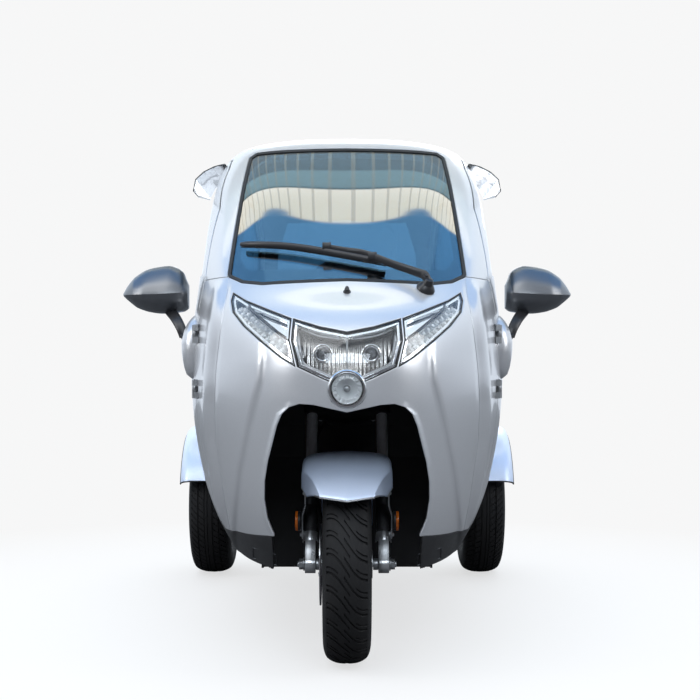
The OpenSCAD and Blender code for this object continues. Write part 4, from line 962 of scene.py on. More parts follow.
body_panel("cowl_shell", in_cowl & ~near_cowl_seam & above_skirt & below_waist & ~near_waist & ~in_arch
           & ~in_screen_gap & ~in_lamps, 0, 30, "silver_paint", replaces=["front_cowl"], lining="black_plastic")
body_panel("wing_shells", ~in_cowl & ~near_cowl_seam & above_skirt & below_waist & ~near_waist
           & (CY < DOOR_Y0 - DOOR_GAP) & ~in_screen_gap & ~in_wing_pockets, 0, 30, "silver_paint",
           replaces=["front_wings"], lining="cabin_plastic")
body_panel("wing_hinge_recess", in_wing_pockets, 14, 18, "silver_paint")
in_door_gap = side_in(offset(door, DOOR_GAP))
in_roof_gap = inside(offset(roof, SEAM), CX, CY) & (CZ > 1380)
in_roof = inside(roof, CX, CY) & (CZ > 1380)
body_panel("cab_shell", ~below_waist & ~near_waist & ~front_in(screen) & ~in_door_gap & ~side_in(quarter)
           & ~front_in(rear_window, True) & ~in_roof_gap, 0, 30, "silver_paint", replaces=["cab_frame"], lining="cabin_plastic")
body_panel("roof_shell", in_roof, 0, 30, "silver_paint", replaces=["roof_panel"], lining="cabin_plastic")
in_wheel = (np.hypot(CY - AXLE_Y, CZ - AXLE_Z) < 292) & (AX > 400.5)
in_lid_gap = front_in(offset(lid, DOOR_GAP), True)
body_panel("rear_shell", (CY > DOOR_Y1 + DOOR_GAP) & above_skirt & below_waist & ~near_waist & ~in_wheel
           & ~in_lid_gap & ~both_in(tail_lamp, True) & ~in_lid_pockets, 0, 30, "silver_paint",
           replaces=["rear_body"], lining="cabin_plastic")
body_panel("skirt_shell", (CZ < skirt_seam_z(CX, CY)) & ~front_in(offset(arch, 6.0))
           & (np.abs(CY - AXLE_Y) > 60), 0, 30, "black_plastic", replaces=["lower_skirt"])
body_panel("lid_shell", front_in(lid, True) & ~in_lid_pockets, 0, 30, "silver_paint", "rear_lid",
           replaces=["boot_lid"], lining="black_plastic")
for side, tag in ((1, "left"), (-1, "right")):
    body_panel(f"door_shell_{tag}", side_in(door, side) & ~side_in(door_window, side) & ~in_door_pockets,
               0, 34, "silver_paint", f"{tag}_door", replaces=[f"door_{tag}"], lining="cabin_plastic")
    body_panel(f"door_hinge_recess_{tag}", in_door_pockets & side_in(door, side), 14, 18, "silver_paint",
               f"{tag}_door")
    body_panel(f"door_window_{tag}", side_in(offset(door_window, -0.3), side), 4, 9, "tinted_glass",
               f"{tag}_door", 0.6, replaces=[f"door_glass_{tag}"])
    body_panel(f"door_window_trim_{tag}", side_in(offset(door_window, -0.3), side)
               & ~side_in(offset(door_window, -16.0), side), 9.2, 10.4, "rubber_seal", f"{tag}_door", 0.3)
body_panel("windscreen_glass", front_in(offset(screen, -9.3)), 4, 9, "tinted_glass", fillet=0.6,
           replaces=["windscreen"], plain=True)
body_panel("windscreen_frit", front_in(offset(screen, -9.3)) & ~front_in(frit), 9.2, 10.0, "dial_glass",
           fillet=0.2, plain=True)
body_panel("windscreen_rubber", front_in(offset(screen, -0.3)) & ~front_in(offset(screen, -9.0)), 1, 16,
           "rubber_seal", fillet=1.5, replaces=["windscreen_seal"], plain=True)
glazed = side_in(offset(quarter, -0.3)) | front_in(offset(rear_window, -0.3), True)
body_panel("rear_windows", glazed, 4, 9, "tinted_glass", fillet=0.6, replaces=["rear_glazing"])
body_panel("rear_window_trim", glazed & ~side_in(offset(quarter, -18.0))
           & ~front_in(offset(rear_window, -18.0), True), 9.2, 10.4, "rubber_seal", fillet=0.3)
in_nose = front_in(nose_ring)


def in_lamp(d):
    return (front_in(offset(headlamp, d)) | both_in(offset(side_lamp, d))) & ~in_nose


body_panel("lamp_gaskets", in_lamp(-0.3) & ~in_lamp(-3.5), 2, 32, "rubber_seal", fillet=0.4)
body_panel("front_lamp_lenses", in_lamp(-3.8), 1, 4, "clear_lens", fillet=0.6, replaces=["headlamp_lens"])
body_panel("lamp_bezels", in_lamp(-3.8) & ~in_lamp(-11.0), 6, 42, "lamp_chrome", fillet=1.0)
body_panel("headlamp_reflector", front_in(offset(headlamp, -11.0)) & ~in_nose, 40, 44, "lamp_fluted", fillet=0.4,
           replaces=["lamp_trays"])
body_panel("side_lamp_plates", both_in(offset(side_lamp, -11.0)), 24, 28, "lamp_chrome", fillet=0.4)
body_panel("tail_lamp_reflectors", both_in(offset(tail_lamp, -0.3), True), 10, 14, "lamp_fluted", fillet=0.4)
body_panel("tail_lamp_lenses", both_in(offset(tail_lamp, -0.3), True), -2, 6, "red_lens", fillet=1.6,
           replaces=["tail_lamps"])


# ---------------------------------------------------------------- shapes in millimetres

def turned(origin=(0, 0, 0), x=0, y=0, z=0):
    turn = Matrix.Rotation(math.radians(z), 4, "Z") @ Matrix.Rotation(math.radians(y), 4, "Y") \
        @ Matrix.Rotation(math.radians(x), 4, "X")
    return Matrix.Translation(origin) @ turn


# Local Z along the vehicle's X, and the frame of the steering axis.
ACROSS = Matrix(((0, 0, 1, 0), (0, 1, 0, 0), (-1, 0, 0, 0), (0, 0, 0, 1)))
STEER = Matrix(((1, 0, 0, 0), (0, 0.898794, 0.438371, -778.543), (0, -0.438371, 0.898794, 232.657), (0, 0, 0, 1)))
FLIP_X = Matrix.Scale(-1, 4, (1, 0, 0))
IDENTITY = Matrix.Identity(4)
FRONT_AXLE = Matrix.Translation((0, FRONT_Y, FRONT_Z)) @ ACROSS


def baked(obj, *modifiers):
    for kind, values in modifiers:
        made = obj.modifiers.new(kind.lower(), kind)
        for key, value in values.items():
            setattr(made, key, value)
    bpy.context.view_layer.update()
    mesh = bpy.data.meshes.new_from_object(obj.evaluated_get(bpy.context.evaluated_depsgraph_get()))
    obj.modifiers.clear()
    obj.data = mesh
    return obj


class Shape:
    """Gathers the faces of one piece, in millimetres."""

    def __init__(self, where=IDENTITY):
        self.where, self.verts, self.faces = where, [], []

    def add(self, verts, faces, where=IDENTITY):
        m, k = self.where @ where, len(self.verts)
        self.verts += [m @ Vector(v) for v in verts]
        self.faces += [tuple(k + i for i in f) for f in faces]
        return self

    def net(self, rows, wrap_rows=False, wrap_cols=True, caps=True, where=IDENTITY):
        n, m = len(rows), len(rows[0])
        faces = []
        for i in range(n if wrap_rows else n - 1):
            a, b = i * m, (i + 1) % n * m
            faces += [(a + j, a + (j + 1) % m, b + (j + 1) % m, b + j) for j in range(m if wrap_cols else m - 1)]
        if caps and not wrap_rows and wrap_cols:
            faces += [tuple(range(m - 1, -1, -1)), tuple(range((n - 1) * m, n * m))]
        return self.add([p for row in rows for p in row], faces, where)

    def lathe(self, profile, where=IDENTITY, n=48, loop=False, power=1.0):
        """Turns (radius, height) points about local Z."""
        rows = [[(r * math.cos(a), r * math.sin(a), h) for a in np.linspace(0, 2 * math.pi, n, endpoint=False)]
                for r, h in profile]
        return self.net(rows, wrap_rows=loop, where=where)

    def prism(self, outline, low, high, where=IDENTITY):
        return self.net([[(x, y, low) for x, y in outline], [(x, y, high) for x, y in outline]], where=where)

    def block(self, low, high, where=IDENTITY):
        (a, b, c), (d, e, f) = low, high
        return self.prism([(a, b), (d, b), (d, e), (a, e)], c, f, where)

    def sweep(self, path, radius, where=IDENTITY, n=14, squash=(1, 1)):
        """A tube along a path; radius is one number or one per point."""
        p = [Vector(q) for q in path]
        radii = [float(r) for r in radius] if isinstance(radius, (list, tuple)) else [radius] * len(p)
        side, rows = None, []
        for i, q in enumerate(p):
            ahead = (p[min(i + 1, len(p) - 1)] - p[max(i - 1, 0)]).normalized()
            if side is None:
                side = ahead.cross(Vector((0, 0, 1)) if abs(ahead.z) < 0.9 else Vector((0, 1, 0))).normalized()
            side = (side - ahead * side.dot(ahead)).normalized()
            up = ahead.cross(side)
            rows.append([tuple(q + radii[i] * (side * math.cos(a) * squash[0] + up * math.sin(a) * squash[1]))
                         for a in np.linspace(0, 2 * math.pi, n, endpoint=False)])
        return self.net(rows, where=where)

    def both(self):
        """Adds the mirror image across the vehicle's middle."""
        k = len(self.verts)
        self.verts += [Vector((-v.x, v.y, v.z)) for v in self.verts]
        self.faces += [tuple(k + i for i in reversed(f)) for f in self.faces]
        return self

    def build(self, name, mat, body="root", replaces=(), angle=35, bevel=0.0, sub=0, slot=None, thick=0.0):
        mesh = bpy.data.meshes.new(name)
        mesh.from_pydata([tuple(v * MM) for v in self.verts], [], self.faces)
        bm = bmesh.new()
        bm.from_mesh(mesh)
        bmesh.ops.recalc_face_normals(bm, faces=bm.faces)
        bm.to_mesh(mesh)
        bm.free()
        obj = piece(name, mesh, mat, body, replaces)
        todo = []
        if thick:
            todo.append(("SOLIDIFY", {"thickness": thick * MM, "offset": -1.0}))
        if sub:
            todo.append(("SUBSURF", {"levels": sub, "render_levels": sub}))
        if bevel:
            todo.append(("BEVEL", {"width": bevel * MM, "segments": 2, "limit_method": "ANGLE",
                                   "angle_limit": math.radians(32), "harden_normals": False}))
        if todo:
            baked(obj, *todo)
        obj.data.polygons.foreach_set("use_smooth", [True] * len(obj.data.polygons))
        obj.data.set_sharp_from_angle(angle=math.radians(angle))
        return obj


def curve_through(points, count):
    """Even points on a smooth curve through the given ones."""
    p = np.array(points, float)
    q = np.vstack([2 * p[0] - p[1], p, 2 * p[-1] - p[-2]])
    out = []
    for k in range(count):
        g = k * (len(p) - 1) / (count - 1)
        i = min(int(g), len(p) - 2)
        f, (a, b, c, d) = g - i, q[i:i + 4]
        out.append((2 * b + (c - a) * f + (2 * a - 5 * b + 4 * c - d) * f * f + (3 * b - a - 3 * c + d) * f ** 3) / 2)
    return np.array(out)


def hexagon(r):
    return [(r * math.cos(a), r * math.sin(a)) for a in np.linspace(0, 2 * math.pi, 6, endpoint=False)]


def round_outline(half_x, half_y, r, n=6):
    """A rectangle with round corners, about the origin."""
    out = []
    for cx, cy, start in ((1, 1, 0), (-1, 1, 90), (-1, -1, 180), (1, -1, 270)):
        out += [(cx * (half_x - r) + r * math.cos(math.radians(start + 90 * k / n)),
                 cy * (half_y - r) + r * math.sin(math.radians(start + 90 * k / n))) for k in range(n + 1)]
    return out


def bolt(shape, where, r=6.0, h=5.0):
    shape.lathe([(r * 1.45, 0), (r * 1.45, 1.2), (r * 1.05, 1.2)], where, 20)
    shape.prism(hexagon(r), 1.0, 1.0 + h, where)
    shape.lathe([(r * 0.62, h + 1.0), (r * 0.5, h + 1.6), (0.2, h + 1.7)], where, 16)


# ---------------------------------------------------------------- tyres and wheels

def tyre_piece(name, r, w, place, body, node_name, grooves, slots, pitches, shear):
    """A tyre whose grooves run round it and whose slots run across, cut into a sheared net."""
    bead = 152.0
    half = [(r, 0), (r - 1.2, 0.14 * w), (r - 3.5, 0.24 * w), (r - 9, 0.345 * w), (r - 17, 0.425 * w),
            (r - 30, 0.475 * w), (0.82 * r, 0.498 * w), (bead + 38, 0.494 * w), (bead + 22, 0.475 * w),
            (bead + 8, 0.42 * w), (bead + 1, 0.37 * w)]
    line = curve_through([(a, b) for a, b in half], 160)
    gaps = np.concatenate([[0], np.cumsum(np.linalg.norm(np.diff(line, axis=0), axis=1))])
    tread_end = float(np.interp(0.455 * w, line[:60, 1], gaps[:60]))
    cuts = [0.0, tread_end, tread_end + 1.5]
    cuts += list(np.linspace(0, tread_end, 9)) + list(np.linspace(tread_end + 1.5, gaps[-1], 12))
    for c, half_w, _ in grooves:
        for e in (-half_w, -half_w * 0.72, half_w * 0.72, half_w):
            cuts.append(abs(c + e))
    for low, high, *_ in slots:
        cuts += [abs(low), abs(low) + 0.4, abs(high), abs(high) - 0.4]
    cuts = np.array(sorted({round(c, 2) for c in cuts if 0 <= c <= gaps[-1]}))
    cuts = cuts[np.concatenate([[True], np.diff(cuts) > 0.25])]
    s_all = np.concatenate([-cuts[:0:-1], cuts])
    rr = np.interp(np.abs(s_all), gaps, line[:, 0])
    xx = np.sign(s_all) * np.interp(np.abs(s_all), gaps, line[:, 1])
    fracs = sorted({f for slot in slots for a, b in [slot[2]] for f in (a - 0.02, a, b, b + 0.02)} | {0.0})
    rows = []
    for k in range(pitches):
        for f in fracs:
            row = []
            for s, radius, x in zip(s_all, rr, xx):
                deep = 0.0
                for c, half_w, depth in grooves:
                    if abs(s - c) <= half_w * 0.73:
                        deep = max(deep, depth)
                for low, high, (a, b), depth in slots:
                    if low < s < high and a - 1e-6 <= f <= b + 1e-6:
                        deep = max(deep, depth)
                if abs(s) > tread_end + 0.1:
                    deep = 0.0
                angle = 2 * math.pi * (k + f + shear(s)) / pitches
                row.append(((radius - deep) * math.cos(angle), (radius - deep) * math.sin(angle), x))
            rows.append(row)
    shape = Shape(place)
    inner = [((bead + 1) * c, (bead + 1) * s_) for c, s_ in [(1, 0)]]
    shape.net(rows, wrap_rows=True, wrap_cols=False, caps=False)
    well = [(bead + 1, 0.37 * w), (bead + 1, 0.30 * w), (bead + 20, 0.36 * w), (r - 26, 0.36 * w), (r - 22, 0),
            (r - 26, -0.36 * w), (bead + 20, -0.36 * w), (bead + 1, -0.30 * w), (bead + 1, -0.37 * w)]
    shape.lathe(well, n=64)
    shape.faces = [f for f in shape.faces if len(f) < 5]
    shape.build(name, "tyre_rubber", body, [node_name], angle=28)
    return shape


def rear_shear(s):
    return 0.0 if abs(s) < 16 else np.sign(s) * 0.9 * ((abs(s) - 16) / 50) ** 1.4 + 0.02 * s


def front_shear(s):
    return 0.016 * s + 0.34 * math.sin(s / 19.0)


REAR_GROOVES = [(-36, 2.2, 5.5), (-13.5, 1.5, 5.0), (-3, 1.5, 5.0), (14.5, 2.2, 5.5), (37, 2.2, 5.5)]
REAR_SLOTS = [(-68, -39, (0.60, 0.82), 4.0), (-33, -15.5, (0.60, 0.74), 3.0), (17, 34, (0.60, 0.74), 3.0),
              (40, 68, (0.60, 0.82), 4.0)]
for side, tag in ((1, "left"), (-1, "right")):
    place = Matrix.Translation((side * 485, AXLE_Y, AXLE_Z)) @ ACROSS
    place = place if side < 0 else place @ Matrix.Scale(-1, 4, (0, 0, 1))
    tyre_piece(f"rear_tyre_{tag}_tread", 250, 145, place, f"rear_wheel_{tag}", f"rear_tyre_{tag}",
               REAR_GROOVES, REAR_SLOTS, 68, rear_shear)
FRONT_SLOTS = [(-56, 7, (0.06, 0.19), 5.0), (-7, 56, (0.56, 0.69), 5.0), (22, 52, (0.29, 0.37), 4.0),
               (-52, -22, (0.80, 0.88), 4.0)]
tyre_piece("front_tyre_tread", 248, 120, FRONT_AXLE, "front_wheel", "front_tyre", [(0, 0.9, 1.2)], FRONT_SLOTS,
           34, front_shear)


def hub_details():
    for side, tag in ((1, "left"), (-1, "right")):
        at = Matrix.Translation((side * 485, AXLE_Y, AXLE_Z)) @ (ACROSS if side > 0 else ACROSS @ turned(y=180))
        cap = Shape(at)
        cap.lathe([(42, 58), (42, 62), (36, 66), (34, 70), (20, 72), (18, 69), (0.3, 69)], n=48)
        for k in range(5):
            a = 2 * math.pi * (k + 0.5) / 5
            bolt(cap, turned((30 * math.cos(a), 30 * math.sin(a), 64)), 5.5, 6)
        cap.lathe([(142, 51), (139, 53.5), (136, 51)], n=72, loop=True)
        cap.build(f"rear_hub_cap_{tag}", "rim_alloy", f"rear_wheel_{tag}", bevel=0.5)
        valve = Shape(at)
        valve.sweep([(120, 20, 20), (118, 22, 34), (114, 23, 46)], [5, 3.6, 3.2])
        valve.build(f"rear_valve_{tag}", "rubber_seal", f"rear_wheel_{tag}")


hub_details()


# ---------------------------------------------------------------- fork, axle and brake

def fork_pieces():
    legs = Shape(STEER)
    for side in (1, -1):
        at = turned((side * 93.5, -35, 0))
        legs.lathe([(14.8, 200), (14.8, 444), (12, 446)], at, 32)
    # The stanchion finish's near-white base is painted light for the shaded tubes inside the arch.
    legs.build("fork_stanchions", "stanchion", "steering", slot="satin_black")
    slide = Shape(STEER)
    for side in (1, -1):
        at = turned((side * 93.5, -35, 0))
        slide.lathe([(10, 22), (17.5, 26), (18.6, 34), (18.6, 150), (17.2, 154), (17.2, 160), (18.8, 164), (18.8, 196),
                     (18.9, 198), (18.9, 208), (16.5, 212), (15, 212)], at, 36)
        slide.lathe([(18.9, 172), (19.3, 174), (19.3, 178), (18.9, 180)], at, 36)
    slide.build("fork_sliders", "cast_black", "steering", replaces=["fork"])
    ends = Shape()
    lower = [(23 * math.cos(a), 23 * math.sin(a)) for a in np.linspace(math.radians(-198), math.radians(18), 26)]
    outline = lower + [(21, 30), (18, 70), (-18, 70), (-21, 30)]
    tilt = Matrix.Translation((0, FRONT_Y, FRONT_Z)) @ Matrix.Rotation(math.radians(-26), 4, "X")
    yz = Matrix(((0, 0, 1, 0), (1, 0, 0, 0), (0, 1, 0, 0), (0, 0, 0, 1)))
    for side in (1, -1):
        ends.prism(outline, side * 93.5 - 13.6, side * 93.5 + 13.6, tilt @ yz)
        ends.prism([(-13, 24), (13, 24), (11, 62), (-11, 62)], side * 93.5 - 14.4, side * 93.5 + 14.4, tilt @ yz)
        out = tilt @ turned((side * 93.5, 0, 80)) @ (ACROSS if side > 0 else ACROSS @ turned(y=180))
        ends.lathe([(11, -6), (11, 18.6), (9.5, 19.2), (4.6, 19.2), (4.6, 12)], out, 28)
        ends.lathe([(21, 0), (19.6, 9), (19.6, 26)], tilt @ turned((side * 93.5, 0, 58)), 30)
    ends.build("fork_ends", "fork_alloy", "steering", bevel=1.4, replaces=[])
    axle = Shape(FRONT_AXLE)
    axle.lathe([(7, -126), (8, -125), (8, 125), (7, 126)], n=28)
    for side in (1, -1):
        at = turned(y=0 if side > 0 else 180)
        axle.lathe([(17, 108), (17, 111), (9, 111)], at, 32)
        axle.prism(hexagon(14), 111, 122, at)
        axle.lathe([(15, 66.5), (15, 78), (13.5, 79.5)], at, 32)
    axle.build("front_axle_nuts", "steel", "steering", bevel=0.7)
    crown = Shape(STEER)
    hull = []
    for cx, cy, r, a0, a1 in ((93.5, -35, 23, -100, 62), (0, 0, 29, 62, 118), (-93.5, -35, 23, 118, 280)):
        hull += [(cx + r * math.cos(a), cy + r * math.sin(a)) for a in
                 np.linspace(math.radians(a0), math.radians(a1), 14)]
    hull += [(-60, -52), (-30, -40), (30, -40), (60, -52)]
    crown.prism(hull, 415.5, 444.5)
    for side in (1, -1):
        bolt(crown, turned((side * 93.5, -35, 444.5)), 8, 6)
        crown.block((side * 93.5 - 6, -62, 420), (side * 93.5 + 6, -56, 440))
        bolt(crown, turned((side * 93.5 + 3, -62, 430), x=90), 4, 3)
    crown.lathe([(15, 445), (15, 758), (13, 760)], n=32)
    crown.build("fork_crown", "cast_black", "steering", bevel=1.6)
    disc = Shape(FRONT_AXLE @ turned((0, 0, -67)))
    n = 144
    rows = []
    for r, h in ((105, -2), (105, 2), (66, 2), (66, -2)):
        rows.append([((r if r < 100 else 104 + 0.9 * math.sin(12 * a)) * math.cos(a),
                      (r if r < 100 else 104 + 0.9 * math.sin(12 * a)) * math.sin(a), h)
                     for a in np.linspace(0, 2 * math.pi, n, endpoint=False)])
    disc.net(rows, wrap_rows=True)
    for k in range(6):
        a0 = 2 * math.pi * k / 6
        arm = [(34, -9), (68, -15), (68, -3), (36, 8)]
        disc.prism([(x * math.cos(a0) - y * math.sin(a0), x * math.sin(a0) + y * math.cos(a0)) for x, y in arm], -1.7, 1.7)
    disc.lathe([(21, -2), (38, -2), (38, 2), (21, 2)], n=48, loop=True)
    for k in range(36):
        a, r = 2 * math.pi * k / 36, (76, 85, 94)[k % 3]
        disc.lathe([(3.4, -2.06), (2.9, -2.1), (0.2, -2.1)], turned((r * math.cos(a), r * math.sin(a), 0)), 10)
    for k in range(6):
        a = 2 * math.pi * (k + 0.2) / 6
        bolt(disc, turned((30 * math.cos(a), 30 * math.sin(a), -2), x=180), 3.6, 2.0)
    disc.build("brake_disc_face", "disc_steel", "front_wheel", replaces=["brake_disc"], bevel=0.3)
    cal = Shape(STEER @ turned((0, -35, 0)))
    body = [(33, 29), (60, 30), (76, 40), (82, 58), (80, 78), (68, 92), (42, 93), (33, 84)]
    for x0, x1 in ((-73.5 + 0.3, -70), (-64, -51)):
        cal.prism(body, x0, x1, Matrix(((0, 0, 1, 0), (1, 0, 0, 0), (0, 1, 0, 0), (0, 0, 0, 1))))
    cal.block((-73, 74, 34), (-51, 83.5, 88))
    cal.block((-104, 19.5, 46), (-71, 34, 76))
    for s in (48, 72):
        cal.lathe([(11, 0), (11, 3), (6, 4), (0.3, 4)], turned((-51, 58, s)) @ ACROSS, 24)
        bolt(cal, turned((-88, 34, s + (4 if s < 60 else -2)), x=-90), 4.5, 4)
    cal.build("brake_caliper_body", "cast_black", "steering", replaces=["brake_caliper"], bevel=1.2)
    hose = Shape()
    hose.sweep(curve_through([(-60, -706, 300), (-66, -690, 340), (-78, -690, 400), (-86, -675, 480), (-80, -640, 560),
                              (-58, -605, 600)], 40), 4.2)
    hose.build("brake_hose_front", "rubber_seal", "steering")


fork_pieces()

# ---------------------------------------------------------------- mudguards

def front_fender():
    half = curve_through([(289, 0), (287.6, 22), (285, 58), (281.5, 82), (275, 101), (266, 110), (252, 113),
                          (228, 113)], 26)
    profile = [(r, -x) for r, x in half[::-1]] + [(r, x) for r, x in half[1:]]

    def limit(y, z):
        u = (y + 778.543) * 0.898794 - (z - 232.657) * 0.438371
        s = (y + 778.543) * 0.438371 + (z - 232.657) * 0.898794
        wide = float(np.clip(66 + 48 * (y + 1015.3) / 106, 66, 113))
        return (70.5, True) if u > -57 and s > 90 else (wide, False)

    def row(phi, inset):
        out = []
        for r, x in profile:
            end = max(0.0, (phi - 0.4) / 0.455)
            phi_here = phi + end * (0.032 * max(0.0, 1 - abs(x) / 60) - 0.24 * (289 - r) / 61)
            r -= inset
            y, z = FRONT_Y - r * math.sin(phi_here), FRONT_Z + r * math.cos(phi_here)
            wide, by_leg = limit(y, z)
            wide -= inset if not by_leg else 0
            if abs(x) > wide:
                if by_leg:
                    r = max(r, 276 - inset)
                    y, z = FRONT_Y - r * math.sin(phi_here), FRONT_Z + r * math.cos(phi_here)
                x = math.copysign(wide, x)
            out.append((x, y, z))
        return out

    angles = np.radians(np.linspace(-76, 49, 61))
    shell = Shape()
    shell.net([row(a, 0) + row(a, 3.2)[::-1] for a in angles])
    # fender_paint's lighter, bluer base is partly painted sky light.
    shell.build("front_fender_shell", "fender_paint", "steering", replaces=["front_fender"], angle=24, bevel=0.6)
    lip = Shape()
    edge = row(angles[-1], 1.4)
    lip.sweep(edge[6:-6], 2.6, n=10)
    lip.sweep([row(a, 1.4)[0] for a in angles[33:]], 2.2, n=8)
    lip.sweep([row(a, 1.4)[-1] for a in angles[33:]], 2.2, n=8)
    lip.build("front_fender_lip", "fork_alloy", "steering")
    ahead, wide = Vector((0, -0.4067, 0.9135)), Vector((0, 0.9135, 0.4067))
    stays = Shape()
    start = Vector((0, -774.9, 319.9))
    rows = []
    for t, x, w in ((-12, 114.4, 5), (-10, 114.4, 8), (0, 114.4, 10.5), (58, 114.4, 10.5), (74, 110, 10), (90, 106, 10),
                    (150, 106, 10), (186, 107.5, 9)):
        c = start + ahead * t
        rows.append([tuple(c + wide * a * w + Vector((x + b * 1.5, 0, 0)))
                     for a, b in ((-1, -1), (1, -1), (1, 1), (-1, 1))])
    stays.net(rows)
    out = ACROSS
    bolt(stays, Matrix.Translation(tuple(start + Vector((115.6, 0, 0)))) @ out, 6, 4.5)
    c = start + ahead * 120
    bolt(stays, Matrix.Translation(tuple(c + Vector((107.4, 0, 0)))) @ out, 4.5, 3.5)
    stays.both().build("front_fender_stays", "fork_alloy", "steering", bevel=0.5)
    c = start + ahead * 40
    cup = Shape(Matrix.Translation((0, c.y - 6, c.z)) @ out)
    cup.lathe([(9, 115.8), (23, 117), (25.5, 119), (25.5, 125), (24, 125.5)], n=40)
    cup.both().build("side_reflector_cups", "black_plastic", "steering")
    lens = Shape(Matrix.Translation((0, c.y - 6, c.z)) @ out)
    lens.lathe([(25, 124.6), (25.6, 126), (25.6, 130.5), (24.4, 132), (18, 132.8), (0.3, 133.2)], n=40)
    lens.both().build("side_reflectors", "orange_lens", "steering", slot="red_lens")


def rear_fenders():
    line = curve_through([(288, 402), (288.2, 470), (288.2, 520), (286.5, 546), (281.5, 563), (272.5, 575.5),
                          (263, 581), (256, 582.5)], 34)
    rows = []
    for a in np.radians(np.linspace(-69, 69, 90)):
        outer = [(x, AXLE_Y - r * math.sin(a), AXLE_Z + r * math.cos(a)) for r, x in line]
        inner = [(x - 2.4 * (x > 540), AXLE_Y - (r - 3.6) * math.sin(a), AXLE_Z + (r - 3.6) * math.cos(a))
                 for r, x in line]
        rows.append(outer + inner[::-1])
    shell = Shape().net(rows)
    # fender_paint's lighter, bluer base is partly painted sky light.
    shell.both().build("rear_fender_shells", "fender_paint", replaces=["rear_fenders"], bevel=0.8)
    trim = Shape()
    edge = [(581.8, AXLE_Y - 256 * math.sin(a), AXLE_Z + 256 * math.cos(a)) for a in np.radians(np.linspace(-69, 69, 70))]
    trim.sweep(edge, 2.6, n=10)
    for sign in (1, -1):
        a = math.radians(sign * 69)
        trim.sweep([(x, AXLE_Y - (r - 1.8) * math.sin(a), AXLE_Z + (r - 1.8) * math.cos(a)) for r, x in line[4:]], 2.6, n=10)
    trim.both().build("rear_fender_trims", "rubber_seal", bevel=0)
    wall = Shape()
    half_disc = [(AXLE_Y + 291 * math.cos(a), AXLE_Z + 291 * math.sin(a)) for a in np.radians(np.linspace(14, 166, 60))]
    yz = Matrix(((0, 0, 1, 0), (1, 0, 0, 0), (0, 1, 0, 0), (0, 0, 0, 1)))
    wall.prism(half_disc, 395, 399.5, yz)
    for k in range(7):
        a = math.radians(30 + 20 * k)
        wall.prism([(AXLE_Y + r * math.cos(a + e), AXLE_Z + r * math.sin(a + e)) for r, e in
                    ((110, -0.06), (270, -0.03), (270, 0.03), (110, 0.06))], 399, 402, yz)
    wall.both().build("wheel_house_walls", "black_plastic", bevel=1.0)


front_fender()
rear_fenders()


# ---------------------------------------------------------------- mirrors, visors, hinges, handles

STATIONS = np.array([[458, 986, 963, 921, 50], [466, 1004, 963, 914, 66], [476, 1026, 962, 910, 76],
                     [506, 1040, 960, 906, 83], [540, 1038, 958, 905, 84], [570, 1032, 957, 909, 80],
                     [588, 1025, 957, 914, 76], [606, 1014, 957, 921, 67], [618, 1005, 957, 929, 58],
                     [637, 983, 958, 944, 36], [648, 966, 960, 954, 14]], float)


def mirror_pieces(side, tag):
    flip = IDENTITY if side > 0 else FLIP_X
    rows, grid = [], curve_through(STATIONS, 46)
    for x, top, belt, low, d in grid:
        upper = curve_through([(0, top), (-0.4 * d, top - 2), (-0.82 * d, 0.45 * top + 0.55 * belt), (-d, belt)], 12)
        lower = curve_through([(-d, belt), (-0.86 * d, 0.5 * (belt + low)), (-0.45 * d, low + 2), (0, low)], 12)
        rows.append([(x, -332 + y, z) for y, z in np.vstack([upper, lower[1:]])])
    body = Shape(flip).net(rows)
    body.build(f"mirror_housing_{tag}", "mirror_shell", f"{tag}_door", slot="satin_black", replaces=[f"mirror_{tag}"], angle=30, bevel=1.2)
    outline = [(x, z) for x, top, belt, low, d in grid[2:-1] for z in (top - 5,)]
    outline += [(x, z) for x, top, belt, low, d in grid[2:-1][::-1] for z in (low + 5,)]
    xz = Matrix(((1, 0, 0, 0), (0, 0, -1, 0), (0, 1, 0, 0), (0, 0, 0, 1)))
    glass = Shape(flip)
    glass.prism([tuple(p) for p in outline], 330.2, 333, xz)
    glass.build(f"mirror_glass_{tag}", "lamp_chrome", f"{tag}_door", slot="lamp_chrome", bevel=0.4)
    arm = Shape(flip)
    path = curve_through([(462, -430, 836), (472, -424, 862), (488, -404, 888), (506, -372, 908), (512, -360, 916)], 16)
    arm.sweep(path, list(np.linspace(13, 17, 16)), squash=(1.0, 0.34), n=18)
    arm.build(f"mirror_arm_{tag}", "satin_black", f"{tag}_door")
    table = np.array([(712, 426), (716, 434), (729, 450), (750, 457), (771, 461), (795, 464), (820, 465), (850, 459),
                      (875, 448), (890, 436), (899, 425)], float)
    rows = []
    for z in np.linspace(713, 898, 34):
        out = float(np.interp(z, table[:, 0], table[:, 1]))
        reach = 74 * math.sqrt(max(0.02, 1 - ((z - 806) / 94) ** 2))
        a = np.linspace(0, 2 * math.pi, 36, endpoint=False)
        y = -450 + (z - 806) * 0.10 + reach * np.copysign(np.abs(np.sin(a)) ** 0.85, np.sin(a))
        skin = surface(*from_side([(b, z) for b in y], 1).T)[:, 0]
        rise = np.maximum(np.cos(a), 0) ** 0.75
        rows.append([(float(s + (out - s) * k - 8 * (1 - k)), float(b), float(z)) for s, k, b in zip(skin, rise, y)])
    pod = Shape(flip).net(rows)
    pod.build(f"mirror_foot_{tag}", "silver_paint", f"{tag}_door", angle=40)
    cuff = Shape(flip)
    cuff.sweep([(452, -438, 826), (464, -429, 842)], [17, 14], squash=(1.0, 0.5), n=20)
    cuff.build(f"mirror_cuff_{tag}", "rubber_seal", f"{tag}_door", bevel=1.0)


VISOR_X = np.array([(449, 1276), (452, 1308), (434, 1340), (404, 1364), (376, 1374)], float)


